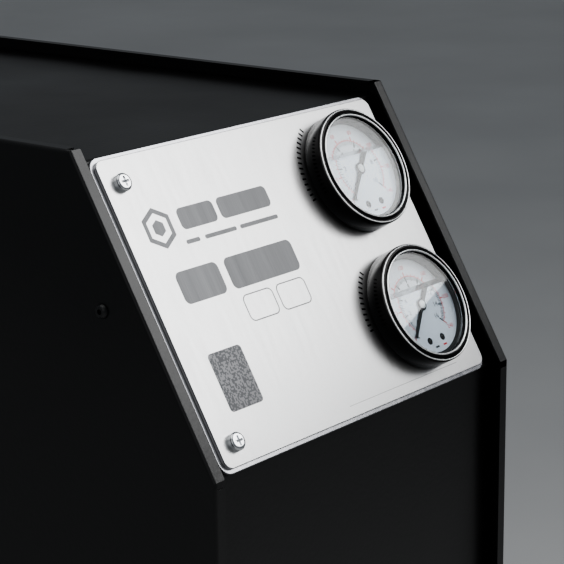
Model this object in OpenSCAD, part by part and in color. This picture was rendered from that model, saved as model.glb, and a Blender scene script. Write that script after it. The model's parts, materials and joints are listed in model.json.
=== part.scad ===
// Compact reverse osmosis unit: a folded sheet-metal cabinet with a sloping gauge console,
// holding two prefilters, a vane pump, two membrane vessels, their valves and their tubes.
// The origin is on the floor, under the middle of the unit. The console faces -Y.

/* [Cabinet] */
// Outside width over the two side panels
cab_w = 250; // [244:1:270]
// Depth of the side panels
cab_d = 480; // [474:1:510]
// Height of the side panels
cab_h = 540; // [534:1:570]
// Sheet thickness of the covers
sheet = 1.5; // [1.2:0.1:1.8]
// Width of the returns folded inwards along the side panels' edges
flange_w = 7.4; // [6:0.1:9]
// Depth of the inner covers below those returns
recess = 8; // [7:0.5:9]
// Height of the rubber feet
foot_h = 18; // [14:1:24]

/* [Console] */
// Slope of the console from the horizontal, in degrees
slope_angle = 59.5; // [57:0.5:62]
// Length of the slope along the side panels
slope_len = 173; // [172:1:180]
// Width of the fascia plate
fascia_w = 219; // [212:1:220]
// Length of the fascia plate down the slope
fascia_h = 162; // [158:1:162]
// Thickness of the fascia plate
fascia_t = 2; // [1.5:0.1:2.2]
// Width of the backing plate that shows round the fascia plate
backing_border = 2.2; // [1:0.1:2.4]
// Thickness of the backing plate
backing_t = 2.2; // [1.5:0.1:2.4]
// Corner radius of the fascia plate
fascia_r = 5; // [2:0.5:8]

/* [Gauges] */
// Distance of both gauges from the middle of the unit
gauge_x = 69; // [66:1:72]
// Distance between the two gauges' centres
gauge_pitch = 81; // [78:1:84]
// Outside diameter of the crimped bezel
bezel_d = 68; // [67:0.5:70]
// Height of the bezel above the fascia plate
bezel_h = 13; // [12.5:0.5:14]
// Sweep of the pointer from zero to full scale, in degrees
gauge_sweep = 270; // [240:5:270]

/* [Water parts] */
// Outside diameter of the water tubes
tube_d = 9.5; // [8:0.5:10]
// Outside diameter of the tubes that feed the gauges
gauge_tube_d = 6.4; // [6:0.2:7]
// Outside diameter of a membrane vessel
vessel_d = 88; // [86:1:90]
// Length of a membrane vessel without its caps
vessel_len = 280; // [270:1:285]
// Outside diameter of a prefilter bowl
bowl_d = 88; // [86:1:90]
// Diameter of the motor's shell without its fins
motor_d = 112; // [108:1:114]

/* [Hidden] */
$fn = 48;

function hundredths(v) = round(100 * v) / 100;

// Where the cabinet stands: everything is centred on the floor under it
port_nose = 20;
bezel_round = 2.4;
plate_drop = recess - fascia_t - backing_t;
fascia_s = 7.25;
fascia_mid_s = fascia_s + fascia_h / 2;
gauge_mid_s = fascia_mid_s - 1;
low_gauge_s = gauge_mid_s + gauge_pitch / 2;
slope_depth = slope_len * cos(slope_angle);
bezel_reach = (low_gauge_s + bezel_d / 2 - bezel_round) * cos(slope_angle)
    + (bezel_h - plate_drop - bezel_round) * sin(slope_angle) + bezel_round - slope_depth;
total_d = bezel_reach + cab_d + port_nose - recess;
y_front = hundredths(bezel_reach - total_d / 2);
y_back = y_front + cab_d;
z_base = foot_h;
z_top = z_base + cab_h;
y_crest = y_front + slope_depth;
z_brow = z_top - slope_len * sin(slope_angle);
inner_x = cab_w / 2 - sheet;
y_rear = y_back - recess;

// Fasteners, in millimetres
m4_shank_r = 2;
m4_hole_r = 2.3;
m4_head_r = 3.8;
m4_head_h = 2.2;
m5_shank_r = 2.5;
m5_hole_r = 2.8;
m5_head_r = 4.75;
m5_head_h = 3.6;

// The side outline's corners, set in by d from the front, the slope and the top
function low_corner(d) = [y_front + d,
    z_top + ((y_front + d - y_crest) * sin(slope_angle) - d) / cos(slope_angle)];
function high_corner(d) = [y_crest + d * tan(slope_angle / 2), z_top - d];
function shell_line(d, z_low, y_end) =
    [[y_front + d, z_low], low_corner(d), high_corner(d), [y_end, z_top - d]];
function reversed(list) = [for (i = [len(list) - 1:-1:0]) list[i]];
function shell_band(d, t, z_low, y_end) =
    concat(shell_line(d, z_low, y_end), reversed(shell_line(d + t, z_low, y_end)));

// Extrudes a shape drawn in (Y, Z) along +X from x
module along_x(x, length) {
    translate([x, 0, 0]) rotate([90, 0, 90]) linear_extrude(length) children();
}

// Console frame: x across, +Y up the slope, +Z out of it; s runs down the slope from its crest
module on_console(x = 0, s = 0, h = 0) {
    translate([0, y_crest, z_top]) rotate([slope_angle, 0, 0]) translate([x, -s, h]) children();
}

module rounded_rect(w, h, r) {
    square([w - 2 * r, h], center = true);
    square([w, h - 2 * r], center = true);
    for (x = [-1, 1], y = [-1, 1]) {
        translate([x * (w / 2 - r), y * (h / 2 - r)]) circle(r);
    }
}

module ring(r_out, r_in, h) {
    difference() {
        cylinder(h = h, r = r_out);
        translate([0, 0, -1]) cylinder(h = h + 2, r = r_in);
    }
}

module hex_bar(across, h) {
    cylinder(h = h, r = across / 2 / cos(30), $fn = 6);
}

module rod_x(length, r) { rotate([0, 90, 0]) cylinder(h = length, r = r); }
module rod_y(length, r) { rotate([-90, 0, 0]) cylinder(h = length, r = r); }

// A tube through a list of points, with a bend of radius bend_r at each inner point
function unit(v) = v / norm(v);
function turn_at(p, i) = acos(min(1, max(-1, unit(p[i] - p[i - 1]) * unit(p[i + 1] - p[i]))));
function trim_at(p, i, bend_r) =
    (i == 0 || i == len(p) - 1) ? 0 : bend_r * tan(turn_at(p, i) / 2);

module aim(v) {
    length = norm(v);
    rotate([0, acos(v.z / length), atan2(v.y, v.x)]) children();
}

module bend(corner, u, v, bend_r, r) {
    angle = acos(u * v);
    inward = unit(v - u);
    axis = unit(cross(u, v));
    centre = corner + inward * (bend_r / cos(angle / 2));
    start = corner - u * (bend_r * tan(angle / 2));
    out = unit(start - centre);
    side = cross(axis, out);
    multmatrix([[out.x, side.x, axis.x, centre.x], [out.y, side.y, axis.y, centre.y],
            [out.z, side.z, axis.z, centre.z], [0, 0, 0, 1]])
        rotate_extrude(angle = angle) translate([bend_r, 0]) circle(r);
}

module tube_run(p, d, bend_r) {
    for (i = [0:len(p) - 2]) {
        u = unit(p[i + 1] - p[i]);
        a = p[i] + u * trim_at(p, i, bend_r);
        b = p[i + 1] - u * trim_at(p, i + 1, bend_r);
        translate(a) aim(b - a) cylinder(h = norm(b - a), r = d / 2);
        if (i > 0) bend(p[i], unit(p[i] - p[i - 1]), u, bend_r, d / 2);
    }
}

// ---- Cabinet ----

// Where the M4 screws pass through each side panel: (Y, Z)
function console_point(s, h) = [y_crest - s * cos(slope_angle) - h * sin(slope_angle),
    z_top - s * sin(slope_angle) + h * cos(slope_angle)];
side_screw_places = [console_point(75, -23), [y_back - 150, z_top - 22], [y_front + 22, z_base + 190],
    [y_front + 60, z_base + 12], [y_back - 60, z_base + 12], [y_back - 22, z_base + 260]];
rear_screw_places = [for (x = [-1, 1], z = [z_base + 12, z_top - 22]) [x * (inner_x - 30), z]];
side_corners = [[y_front, z_base], [y_front, z_brow], [y_crest, z_top], [y_back, z_top],
    [y_back, z_base]];
tab_depth = 28;

module flange_strip(length) {
    gap = 2;
    corner = 2.5;
    linear_extrude(sheet) difference() {
        translate([0, gap]) square([flange_w, length - 2 * gap]);
        for (end = [0, 1]) {
            translate([0, end * length]) mirror([0, end]) translate([flange_w - corner, gap]) {
                difference() {
                    square(corner);
                    translate([0, corner]) circle(corner);
                }
            }
        }
    }
}

module side_panel() {
    difference() {
        union() {
            along_x(-cab_w / 2, sheet) polygon(side_corners);
            for (i = [0:3]) {
                a = side_corners[i];
                run = side_corners[i + 1] - a;
                translate([-cab_w / 2, a.x, a.y]) rotate([atan2(run.y, run.x), 0, 0])
                    translate([0, 0, -sheet]) flange_strip(norm(run));
            }
        }
        for (p = side_screw_places) {
            translate([-cab_w / 2 - 1, p.x, p.y]) rod_x(sheet + 2, m4_hole_r);
        }
    }
}

module left_side_panel() { color([0.06, 0.06, 0.065]) side_panel(); }
module right_side_panel() { color([0.06, 0.06, 0.065]) mirror([1, 0, 0]) side_panel(); }

// One bent sheet: front, console and top, with a tab down each side
module wrap_panel() {
    front_low = z_base + 1;
    lip_x = inner_x - 22;
    color([0.07, 0.07, 0.075]) difference() {
        union() {
            along_x(-inner_x, 2 * inner_x)
                polygon(shell_band(recess, sheet, front_low, y_rear - sheet));
            translate([-lip_x, y_rear - 2 * sheet, z_top - recess - sheet - 24])
                cube([2 * lip_x, sheet, 25]);
            for (x = [-inner_x, inner_x - sheet]) {
                along_x(x, sheet)
                    polygon(shell_band(recess + sheet, tab_depth - recess, z_base + 40, y_rear - 20));
            }
        }
        for (s = gauge_places) {
            on_console(gauge_x, s, -recess - 4) cylinder(h = 6, r = case_hole_r);
        }
        for (s = fascia_screw_places) {
            on_console(fascia_screw_x, s, -recess - 4) cylinder(h = 6, r = m5_hole_r);
        }
        for (i = [1, 3]) {
            translate([rear_screw_places[i].x, y_rear - 3 * sheet, rear_screw_places[i].y])
                rod_y(3 * sheet, m4_hole_r);
        }
        for (i = [0:2], x = [-inner_x - 1, inner_x - sheet - 1]) {
            translate([x, side_screw_places[i].x, side_screw_places[i].y]) rod_x(sheet + 2, m4_hole_r);
        }
    }
}

// Tray with its edges folded up
module base_pan() {
    lip = 22;
    y0 = y_front + recess + sheet;
    y1 = y_rear - sheet;
    color([0.08, 0.08, 0.085]) difference() {
        translate([-inner_x, y0, z_base]) cube([2 * inner_x, y1 - y0, lip]);
        translate([-inner_x + sheet, y0 + sheet, z_base + sheet])
            cube([2 * (inner_x - sheet), y1 - y0 - 2 * sheet, lip]);
        bolt_holes(floor_z, floor_z + 4);
        for (i = [3, 4], x = [-inner_x - 1, inner_x - sheet - 1]) {
            translate([x, side_screw_places[i].x, side_screw_places[i].y]) rod_x(sheet + 2, m4_hole_r);
        }
        for (i = [0, 2]) {
            translate([rear_screw_places[i].x, y1 - sheet - 1, rear_screw_places[i].y])
                rod_y(sheet + 2, m4_hole_r);
        }
    }
}

// Rear cover, with louvres, the tube ports' holes and the power inlet's cut-out
port_x = 106;
port_z = [z_base + 52, z_base + 97, z_base + 142];
inlet_x = -78;
inlet_z = z_base + 90;
inlet_cut = [30, 48];

module rear_panel() {
    fold = 18;
    z0 = z_base + 1;
    z1 = z_top - recess;
    color([0.08, 0.08, 0.085]) difference() {
        union() {
            translate([-inner_x, y_rear - sheet, z0]) cube([2 * inner_x, sheet, z1 - z0]);
            for (x = [-inner_x, inner_x - sheet]) {
                translate([x, y_rear - sheet - fold, z_base + 30]) cube([sheet, fold, z1 - z_base - 60]);
            }
        }
        for (z = port_z) translate([port_x, y_rear - sheet - 1, z]) rod_y(sheet + 2, 10.2);
        for (p = rear_screw_places) translate([p.x, y_rear - sheet - 1, p.y]) rod_y(sheet + 2, m4_hole_r);
        translate([inlet_x, y_rear, inlet_z]) cube([inlet_cut.x, 4 * sheet, inlet_cut.y], center = true);
        for (side = [-1, 1], i = [0:7]) {
            translate([side * 52 - 36, y_rear - sheet - 1, z_base + 330 + 12 * i])
                cube([72, sheet + 2, 4]);
        }
        for (x = [-inner_x - 1, inner_x - sheet - 1]) {
            translate([x, side_screw_places[5].x, side_screw_places[5].y]) rod_x(sheet + 2, m4_hole_r);
        }
    }
}

// Button-head screw along +Z, head's seat at z = 0, hexagon socket in the head
module button_screw(shank) {
    difference() {
        rotate_extrude() polygon([[0, -shank], [m4_shank_r, -shank], [m4_shank_r, 0], [m4_head_r, 0],
            [m4_head_r, 0.5], [3.3, 1.5], [2.5, m4_head_h], [0, m4_head_h]]);
        translate([0, 0, 0.8]) hex_bar(2.5, 3);
    }
}

module cabinet_screws() {
    shank = 8;
    color([0.12, 0.12, 0.12]) {
        for (p = side_screw_places) {
            translate([-cab_w / 2, p.x, p.y]) rotate([0, -90, 0]) button_screw(shank);
            translate([cab_w / 2, p.x, p.y]) rotate([0, 90, 0]) button_screw(shank);
        }
        for (p = rear_screw_places) {
            translate([p.x, y_rear, p.y]) rotate([-90, 0, 0]) button_screw(shank);
        }
    }
}

foot_inset = [38, 42];
foot_places = [for (x = [-1, 1], y = [y_front + foot_inset.y, y_back - foot_inset.y])
    [x * (cab_w / 2 - foot_inset.x), y]];

module rubber_feet() {
    color([0.1, 0.1, 0.1]) for (p = foot_places) {
        translate([p.x, p.y, 0]) rotate_extrude()
            polygon([[0, 4], [5.5, 4], [5.5, 0], [14, 0], [17, foot_h - 2], [17, foot_h],
                [3, foot_h], [3, foot_h - 8], [0, foot_h - 8]]);
    }
}

// ---- Console plates ----

gauge_places = [gauge_mid_s - gauge_pitch / 2, low_gauge_s];
case_r = 31;
case_hole_r = 31.6;
fascia_screw_x = -fascia_w / 2 + 11.6;
fascia_screw_places = [for (d = [-1, 1]) fascia_mid_s + 1.2 + d * (fascia_h / 2 - 12.5)];

module console_plate(w, h, t, r, low) {
    difference() {
        on_console(0, fascia_mid_s, low) linear_extrude(t) rounded_rect(w, h, r);
        for (s = gauge_places) {
            on_console(gauge_x, s, low - 1) cylinder(h = t + 2, r = case_hole_r);
        }
        for (s = fascia_screw_places) {
            on_console(fascia_screw_x, s, low - 1) cylinder(h = t + 2, r = m5_hole_r);
        }
    }
}

module backing_plate() {
    color([0.7, 0.7, 0.72]) console_plate(fascia_w + 2 * backing_border, fascia_h + 2 * backing_border,
        backing_t, fascia_r + backing_border, -recess);
}

module fascia_plate() {
    color([0.86, 0.86, 0.87]) console_plate(fascia_w, fascia_h, fascia_t, fascia_r, -plate_drop - fascia_t);
}

// Pan-head screws with a cross recess
module pan_screw(shank) {
    dome = 1.4;
    cross_w = 1.2;
    cross_l = 5.2;
    difference() {
        rotate_extrude() polygon(concat([[0, -shank], [m5_shank_r, -shank], [m5_shank_r, 0]],
            [[m5_head_r - 0.2, 0], [m5_head_r, 0.3]],
            [for (a = [0:15:90]) [m5_head_r - 1.6 + 1.6 * cos(a), m5_head_h - dome + dome * sin(a)]],
            [[0, m5_head_h]]));
        for (turn = [0, 90]) {
            rotate([0, 0, turn]) translate([-cross_l / 2, -cross_w / 2, 1.4])
                cube([cross_l, cross_w, m5_head_h]);
        }
    }
}

module fascia_screws() {
    color([0.8, 0.8, 0.82]) for (s = fascia_screw_places) {
        on_console(fascia_screw_x, s, -plate_drop) pan_screw(12);
    }
}

// ---- Pressure gauges: local z = 0 is the fascia's face, local +Y is up the slope ----

case_back = -19;
case_front = 9;
case_wall = 0.8;
window_low = 9.3;
window_t = 2;
dial_z = 3;
dial_t = 0.6;
dial_r = 29;
stem_r = 6.5;
stem_end = -36;
arbor_r = 0.8;
arbor_hole_r = 0.87;
sector_pivot = [-10, 0];
pinion_r = 1;
sector_reach = 8.85;
sector_sweep = gauge_sweep * pinion_r / sector_reach;
zero_angle = 225;

module on_gauge(i) { on_console(gauge_x, gauge_places[i], -plate_drop) children(); }

module gauge_case() {
    neck = stem_r + 0.05;
    inside = case_r - case_wall;
    rotate_extrude() polygon([[neck, case_back], [case_r, case_back], [case_r, case_front],
        [inside, case_front], [inside, case_back + case_wall], [neck, case_back + case_wall]]);
}

// Crimped ring: a straight skirt, a rounded lip and an inner step onto the window
module gauge_bezel() {
    r = bezel_d / 2;
    lip = [for (a = [0:15:90])
        [r - bezel_round * (1 - cos(a)), bezel_h - bezel_round * (1 - sin(a))]];
    rotate_extrude() polygon(concat([[case_r + 0.05, 0], [r, 0]], lip,
        [[r - 3.2, bezel_h], [r - 3.4, bezel_h - 1], [29.4, bezel_h - 1.2], [29, window_low + window_t],
         [case_r + 0.05, window_low + window_t]]));
}

module gauge_window() {
    translate([0, 0, window_low]) cylinder(h = window_t - 0.02, r = case_r);
}

// The dial's two screws: where they are, their radius and their length below the dial
dial_screws = [[-5.75, -20], [5.75, -20]];
dial_screw_r = 1;
dial_screw_l = 3;

module gauge_dial() {
    difference() {
        translate([0, 0, dial_z]) cylinder(h = dial_t, r = dial_r);
        translate([0, 0, dial_z - 1]) cylinder(h = 3, r = arbor_hole_r + 0.3);
        for (p = dial_screws) translate([p.x, p.y, dial_z - 1]) cylinder(h = 3, r = dial_screw_r + 0.1);
    }
    // Its two screws hold it to the posts behind
    for (p = dial_screws) {
        translate([p.x, p.y, dial_z + dial_t]) difference() {
            cylinder(h = 0.8, r = 2);
            translate([-0.25, -3, 0.4]) cube([0.5, 6, 1]);
        }
        translate([p.x, p.y, dial_z - dial_screw_l]) cylinder(h = dial_t + dial_screw_l, r = dial_screw_r);
    }
}

// Pointer, its arbor and its pinion turn together; at rest the tip is on zero
module gauge_pointer() {
    low = dial_z + 1.6;
    rotate([0, 0, zero_angle]) {
        translate([0, 0, low]) linear_extrude(0.7) polygon([[-14, -1.9], [-14, 1.9], [-5, 1.3], [0, 1.6],
            [14, 0.7], [22.5, 0.25], [22.5, -0.25], [14, -0.7], [0, -1.6], [-5, -1.3]]);
        translate([0, 0, low]) cylinder(h = 1.6, r = 2.6);
        translate([0, 0, -8]) cylinder(h = low + 8.5, r = arbor_r);
        translate([0, 0, -3]) cylinder(h = 2.4, r = pinion_r);
    }
}

// Sector that drives the pinion, on its own pivot
module gauge_sector() {
    translate(sector_pivot) {
        translate([0, 0, -8]) cylinder(h = dial_z + 7.8, r = arbor_r);
        translate([0, 0, -2.6]) {
            ring(2.4, arbor_r - 0.2, 1.6);
            linear_extrude(1.6) difference() {
                intersection() {
                    circle(sector_reach);
                    polygon([[0, 0], 12 * [cos(sector_sweep + 6), -sin(sector_sweep + 6)],
                        [14, 0], 12 * [cos(14), sin(14)]]);
                }
                circle(1.5);
            }
        }
    }
}

module movement_plate(z, t) {
    translate([0, 0, z]) linear_extrude(t) difference() {
        translate([-5, 0]) square([22, 14], center = true);
        circle(arbor_hole_r);
        translate(sector_pivot) circle(arbor_hole_r);
    }
}

// Two plates on pillars, the curved pressure tube round them, and the threaded stem
module gauge_movement() {
    movement_plate(1.5, 1);
    movement_plate(-7, 1);
    for (p = [[-14.5, -5.5], [-14.5, 5.5], [4, -5.5], [4, 5.5]]) {
        translate([p.x, p.y, -6]) cylinder(h = 7.5, r = 1.2);
    }
    translate([0, 0, -6]) rotate([0, 0, -60]) rotate_extrude(angle = 250)
        translate([21, 0]) square([2.4, 6], center = true);
    translate([6, -24, -9]) cube([10, 7, 6]);
    difference() {
        union() {
            translate([0, 0, stem_end]) cylinder(h = -stem_end - 12, r = stem_r);
            translate([-7, -23, -12]) cube([14, 30, 3]);
            translate([-3, -6.5, -9]) cube([6, 3, 2]);
            for (p = dial_screws) {
                translate([p.x, p.y, -9.5]) cylinder(h = dial_z + 9.5 - 0.02, r = 1.9);
            }
        }
        translate([0, 0, stem_end - 1]) cylinder(h = 18, r = 2);
        for (p = dial_screws) {
            translate([p.x, p.y, dial_z - dial_screw_l - 0.2]) cylinder(h = 9, r = dial_screw_r + 0.05);
        }
    }
}

// U-shaped strap behind the panel, and the nut that pulls it tight
module gauge_clamp() {
    leg_x = case_r + 3;
    strap_z = -27;
    top = -fascia_t - backing_t - sheet - 0.02;
    difference() {
        union() {
            translate([-leg_x - 2, -9, strap_z]) cube([2 * leg_x + 4, 18, 2]);
            for (x = [-leg_x - 2, leg_x]) translate([x, -9, strap_z]) cube([2, 18, top - strap_z]);
        }
        translate([0, 0, strap_z - 1]) cylinder(h = 4, r = stem_r + 0.3);
    }
    translate([0, 0, strap_z - 4.5]) difference() {
        hex_bar(19, 4.4);
        translate([0, 0, -1]) cylinder(h = 7, r = stem_r + 0.02);
    }
}

module gauge_part(i, name) {
    on_gauge(i) {
        if (name == "case") color([0.55, 0.56, 0.58]) gauge_case();
        if (name == "bezel") color([0.8, 0.8, 0.82]) gauge_bezel();
        if (name == "window") color([0.85, 0.9, 0.95, 0.3]) gauge_window();
        if (name == "dial") color([0.93, 0.93, 0.92]) gauge_dial();
        if (name == "pointer") color([0.05, 0.05, 0.05]) gauge_pointer();
        if (name == "sector") color([0.75, 0.62, 0.3]) gauge_sector();
        if (name == "movement") color([0.75, 0.62, 0.3]) gauge_movement();
        if (name == "clamp") color([0.6, 0.6, 0.62]) gauge_clamp();
    }
}

// ---- Chassis ----

// Where the water parts stand
filter_x = 48;
filter_y = y_front + 66;
head_top = z_base + 354;
head_port_z = head_top - 13;
mid_y = filter_y + 64;
mid_t = 2;
rack_y = y_rear - 24;
rack_t = 2;
vessel_x = 56;
vessel_y = rack_y - 55;
vessel_z = z_base + 182;
vessel_r = vessel_d / 2;
cap_r = vessel_r + 5;
cap_end = 12;
low_port_z = vessel_z - cap_end / 2;
high_port_z = vessel_z + vessel_len + cap_end / 2;
cap_port_y = vessel_y - cap_r - 10;
drive_x = -34;
drive_z = z_base + 78;
pump_y = mid_y + 17;
pump_l = 58;
motor_y = pump_y + pump_l;
bell_t = 12;
shell_l = 140;
motor_r = motor_d / 2;
fin_reach = motor_r + 5;
fan_y = motor_y + 2 * bell_t + shell_l;
port_mid_y = pump_y + pump_l / 2;
port_in_y = y_rear - sheet - 18;
side_tube_x = 106;
valve_y = y_rear - 77;
top_port_z = vessel_z + vessel_len + cap_end + 14;
permeate_z = top_port_z + 8;
low_tee_z = z_base + 282;
floor_z = z_base + sheet;
cradle_t = 3;

// Bolts: [x, y, seat height, shank length]
bolts = concat(
    [for (p = foot_places) [p.x, p.y, floor_z, sheet + 6]],
    [for (x = [-44, 44], y = [motor_y + 22, motor_y + 142])
        [drive_x + x, y, floor_z + cradle_t, cradle_t + 3]],
    [for (x = [-80, 0, 80]) [x, mid_y + mid_t + 7, floor_z + mid_t, mid_t + 3]],
    [for (x = [-60, 0, 60]) [x, rack_y - rack_t - 10, floor_z + rack_t, rack_t + 3]],
    [for (x = [-1, 1], d = [-28, 28]) [x * filter_x + d, filter_y, head_top + 2.5, 2.5 + 9]]);

module bolt_holes(low, high) {
    for (b = bolts) {
        if (b.z >= low && b.z <= high) {
            translate([b.x, b.y, b.z - b[3] - 0.5]) cylinder(h = b[3] + 1.5, r = m5_shank_r + 0.05);
        }
    }
}

module chassis_bolts() {
    color([0.75, 0.75, 0.77]) for (b = bolts) {
        translate([b.x, b.y, b.z - b[3]]) cylinder(h = b[3] + 1, r = m5_shank_r);
        translate([b.x, b.y, b.z]) hex_bar(8, 3.5);
    }
}

// Upright sheet that carries the prefilters and the controller
module mid_plate() {
    half = 98;
    color([0.72, 0.73, 0.74]) difference() {
        union() {
            translate([-half, mid_y, floor_z]) cube([2 * half, mid_t, head_top - floor_z]);
            translate([-half, mid_y, floor_z]) cube([2 * half, mid_t + 13, mid_t]);
        }
        bolt_holes(floor_z, floor_z + 4);
    }
}

module filter_bracket() {
    half = 98;
    front = filter_y - 46;
    color([0.72, 0.73, 0.74]) difference() {
        union() {
            translate([-half, front, head_top]) cube([2 * half, mid_y - front, 2.5]);
            translate([-half, mid_y - 2.5, head_top - 34]) cube([2 * half, 2.5, 36]);
        }
        bolt_holes(head_top, head_top + 4);
    }
}

// Upright sheet behind the membrane vessels, with a window for the power inlet
module membrane_rack() {
    left = -100;
    foot_left = -72;
    right = 80;
    color([0.72, 0.73, 0.74]) difference() {
        union() {
            translate([left, rack_y - rack_t, floor_z])
                cube([right - left, rack_t, vessel_z + vessel_len - floor_z]);
            translate([foot_left, rack_y - rack_t - 18, floor_z]) cube([right - foot_left, 20, rack_t]);
        }
        translate([left - 1, rack_y - rack_t - 1, inlet_z - 40]) cube([56, rack_t + 2, 80]);
        bolt_holes(floor_z, floor_z + 4);
    }
}

module vessel_clips() {
    clip_h = 18;
    grip = 3;
    color([0.85, 0.85, 0.84]) for (x = [-1, 1], z = [vessel_z + 60, vessel_z + vessel_len - 70]) {
        translate([x * vessel_x, vessel_y, z]) difference() {
            union() {
                cylinder(h = clip_h, r = vessel_r + grip);
                translate([-14, 0, 0]) cube([28, rack_y - rack_t - vessel_y, clip_h]);
            }
            translate([0, 0, -1]) cylinder(h = clip_h + 2, r = vessel_r + 0.05);
            translate([-vessel_r * 0.7, -2 * vessel_r, -1]) cube([vessel_r * 1.4, 2 * vessel_r, clip_h + 2]);
        }
    }
}

module motor_cradle() {
    half = 52;
    saddle_top = drive_z - 36;
    color([0.2, 0.2, 0.21]) difference() {
        union() {
            translate([drive_x - half, motor_y + 10, floor_z]) cube([2 * half, shell_l + 4, cradle_t]);
            for (y = [motor_y + 30, motor_y + 116]) {
                translate([drive_x - half + 14, y, floor_z]) cube([2 * half - 28, 10, saddle_top - floor_z]);
            }
        }
        translate([drive_x, motor_y, drive_z]) rod_y(shell_l + 40, fin_reach + 0.05);
        bolt_holes(floor_z, floor_z + 4);
    }
}

// ---- Prefilters ----

bowl_r = bowl_d / 2;
neck_r = bowl_r - 4;
neck_top = head_top - 21;
bowl_top = head_top - 40;
bowl_low = z_base + 44;

module filter_head(side) {
    translate([side * filter_x, filter_y, 0]) difference() {
        union() {
            translate([0, 0, bowl_top]) cylinder(h = head_top - bowl_top, r = bowl_r + 2);
            translate([-filter_x, 0, head_port_z]) rod_x(2 * filter_x - 0.02, 10);
        }
        translate([0, 0, bowl_top - 1]) cylinder(h = neck_top - bowl_top + 1.2, r = neck_r + 0.05);
        translate([-filter_x - 1, 0, head_port_z]) rod_x(2 * filter_x + 2, 5);
        for (d = [-28, 28]) translate([d, 0, head_top - 9.5]) cylinder(h = 10, r = m5_shank_r + 0.05);
    }
}

module filter_bowl(side) {
    wall = 4;
    dome = 14;
    arc = [for (a = [-90:15:0]) [bowl_r - dome + dome * cos(a), bowl_low + dome + dome * sin(a)]];
    translate([side * filter_x, filter_y, 0]) rotate_extrude() polygon(concat([[0, bowl_low]], arc,
        [[bowl_r, bowl_top - 9], [bowl_r + 2, bowl_top - 9], [bowl_r + 2, bowl_top - 0.1],
         [neck_r, bowl_top - 0.1], [neck_r, neck_top], [neck_r - wall, neck_top],
         [neck_r - wall, bowl_low + dome], [neck_r - wall - 8, bowl_low + wall], [0, bowl_low + wall]]));
}

module filter_cartridge(side) {
    r = neck_r - 9;
    core_r = 13;
    end_cap = 5;
    low = bowl_low + 4.2;
    high = neck_top - 0.5;
    translate([side * filter_x, filter_y, low]) difference() {
        union() {
            translate([0, 0, end_cap]) cylinder(h = high - low - 2 * end_cap, r = r);
            for (z = [0, high - low - end_cap]) translate([0, 0, z]) cylinder(h = end_cap, r = r - 4);
        }
        translate([0, 0, end_cap + 1]) cylinder(h = high - low, r = core_r);
    }
}

module sediment_head() { color([0.12, 0.2, 0.42]) filter_head(1); }
module sediment_bowl() { color([0.2, 0.35, 0.65]) filter_bowl(1); }
module sediment_cartridge() { color([0.93, 0.93, 0.9]) filter_cartridge(1); }
module carbon_head() { color([0.12, 0.2, 0.42]) filter_head(-1); }
module carbon_bowl() { color([0.2, 0.35, 0.65]) filter_bowl(-1); }
module carbon_cartridge() { color([0.15, 0.15, 0.15]) filter_cartridge(-1); }

// ---- Pump and motor, on one axis along Y ----

shaft_r = 7;
shaft_hole_r = 7.06;
cam_r = 20;
cam_shift = 2.2;
chamber_l = 42;
// Wall of the pump body in front of the chamber
cover_t = 8;
pump_half = 42;

module on_drive(y) { translate([drive_x, y, drive_z]) children(); }

module pump_body() {
    body_r = 36;
    boss_r = 11;
    port_r = 4;
    color([0.72, 0.6, 0.32]) on_drive(pump_y) difference() {
        union() {
            rod_y(pump_l, body_r);
            translate([-pump_half, pump_l / 2, 0]) rod_x(2 * pump_half, boss_r);
        }
        translate([0, cover_t, cam_shift]) rod_y(chamber_l, cam_r);
        translate([0, cover_t + chamber_l - 1, 0]) rod_y(pump_l, shaft_hole_r);
        translate([-pump_half - 1, pump_l / 2, 0]) rod_x(2 * pump_half + 2, port_r);
    }
}

// Slotted rotor; its carbon vanes sit flush in their slots
module pump_rotor() {
    gap = 0.2;
    color([0.5, 0.5, 0.52]) on_drive(pump_y + cover_t + gap) difference() {
        rod_y(chamber_l - 2 * gap, cam_r - cam_shift - 0.3);
        translate([0, -1, 0]) rod_y(chamber_l + 2, shaft_r + 0.02);
    }
}

module motor_housing() {
    fins = 28;
    bell_r = fin_reach - 1;
    box_w = 56;
    box_half_angle = 34;
    color([0.16, 0.17, 0.19]) on_drive(motor_y) difference() {
        union() {
            rod_y(bell_t, bell_r);
            translate([0, bell_t - 1, 0]) rod_y(shell_l + 2, motor_r);
            translate([0, bell_t + shell_l, 0]) rod_y(bell_t, bell_r);
            for (i = [0:fins - 1]) {
                turn = (i + 0.5) * 360 / fins;
                if (abs(turn - 270) > box_half_angle) {
                    rotate([0, turn, 0]) translate([motor_r - 2, bell_t - 1, -1])
                        cube([bell_r - motor_r + 1.2, shell_l + 2, 2]);
                }
            }
            translate([-box_w / 2, 40, motor_r - 10]) cube([box_w, 70, 24]);
        }
        translate([0, bell_t + 2, 0]) rod_y(shell_l - 4, motor_r - 14);
        translate([0, -1, 0]) rod_y(shell_l + 2 * bell_t + 2, shaft_hole_r);
    }
}

module motor_rotor() {
    core_l = shell_l - 20;
    shaft_low = cover_t - pump_l + 0.3;
    shaft_high = 2 * bell_t + shell_l + 30;
    color([0.62, 0.63, 0.65]) on_drive(motor_y) {
        translate([0, shaft_low, 0]) rod_y(shaft_high - shaft_low, shaft_r);
        translate([0, bell_t + 10, 0]) rod_y(core_l, motor_r - 15);
    }
}

module motor_fan() {
    blades = 7;
    disc_r = 46;
    hub_r = 12;
    color([0.1, 0.1, 0.1]) on_drive(fan_y + 8) difference() {
        union() {
            rod_y(20, hub_r);
            rod_y(2, disc_r);
            for (i = [0:blades - 1]) {
                rotate([0, i * 360 / blades, 0]) translate([hub_r - 2, 1, -1])
                    cube([disc_r - hub_r, 18, 2]);
            }
        }
        translate([0, -1, 0]) rod_y(22, shaft_r + 0.02);
    }
}

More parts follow.
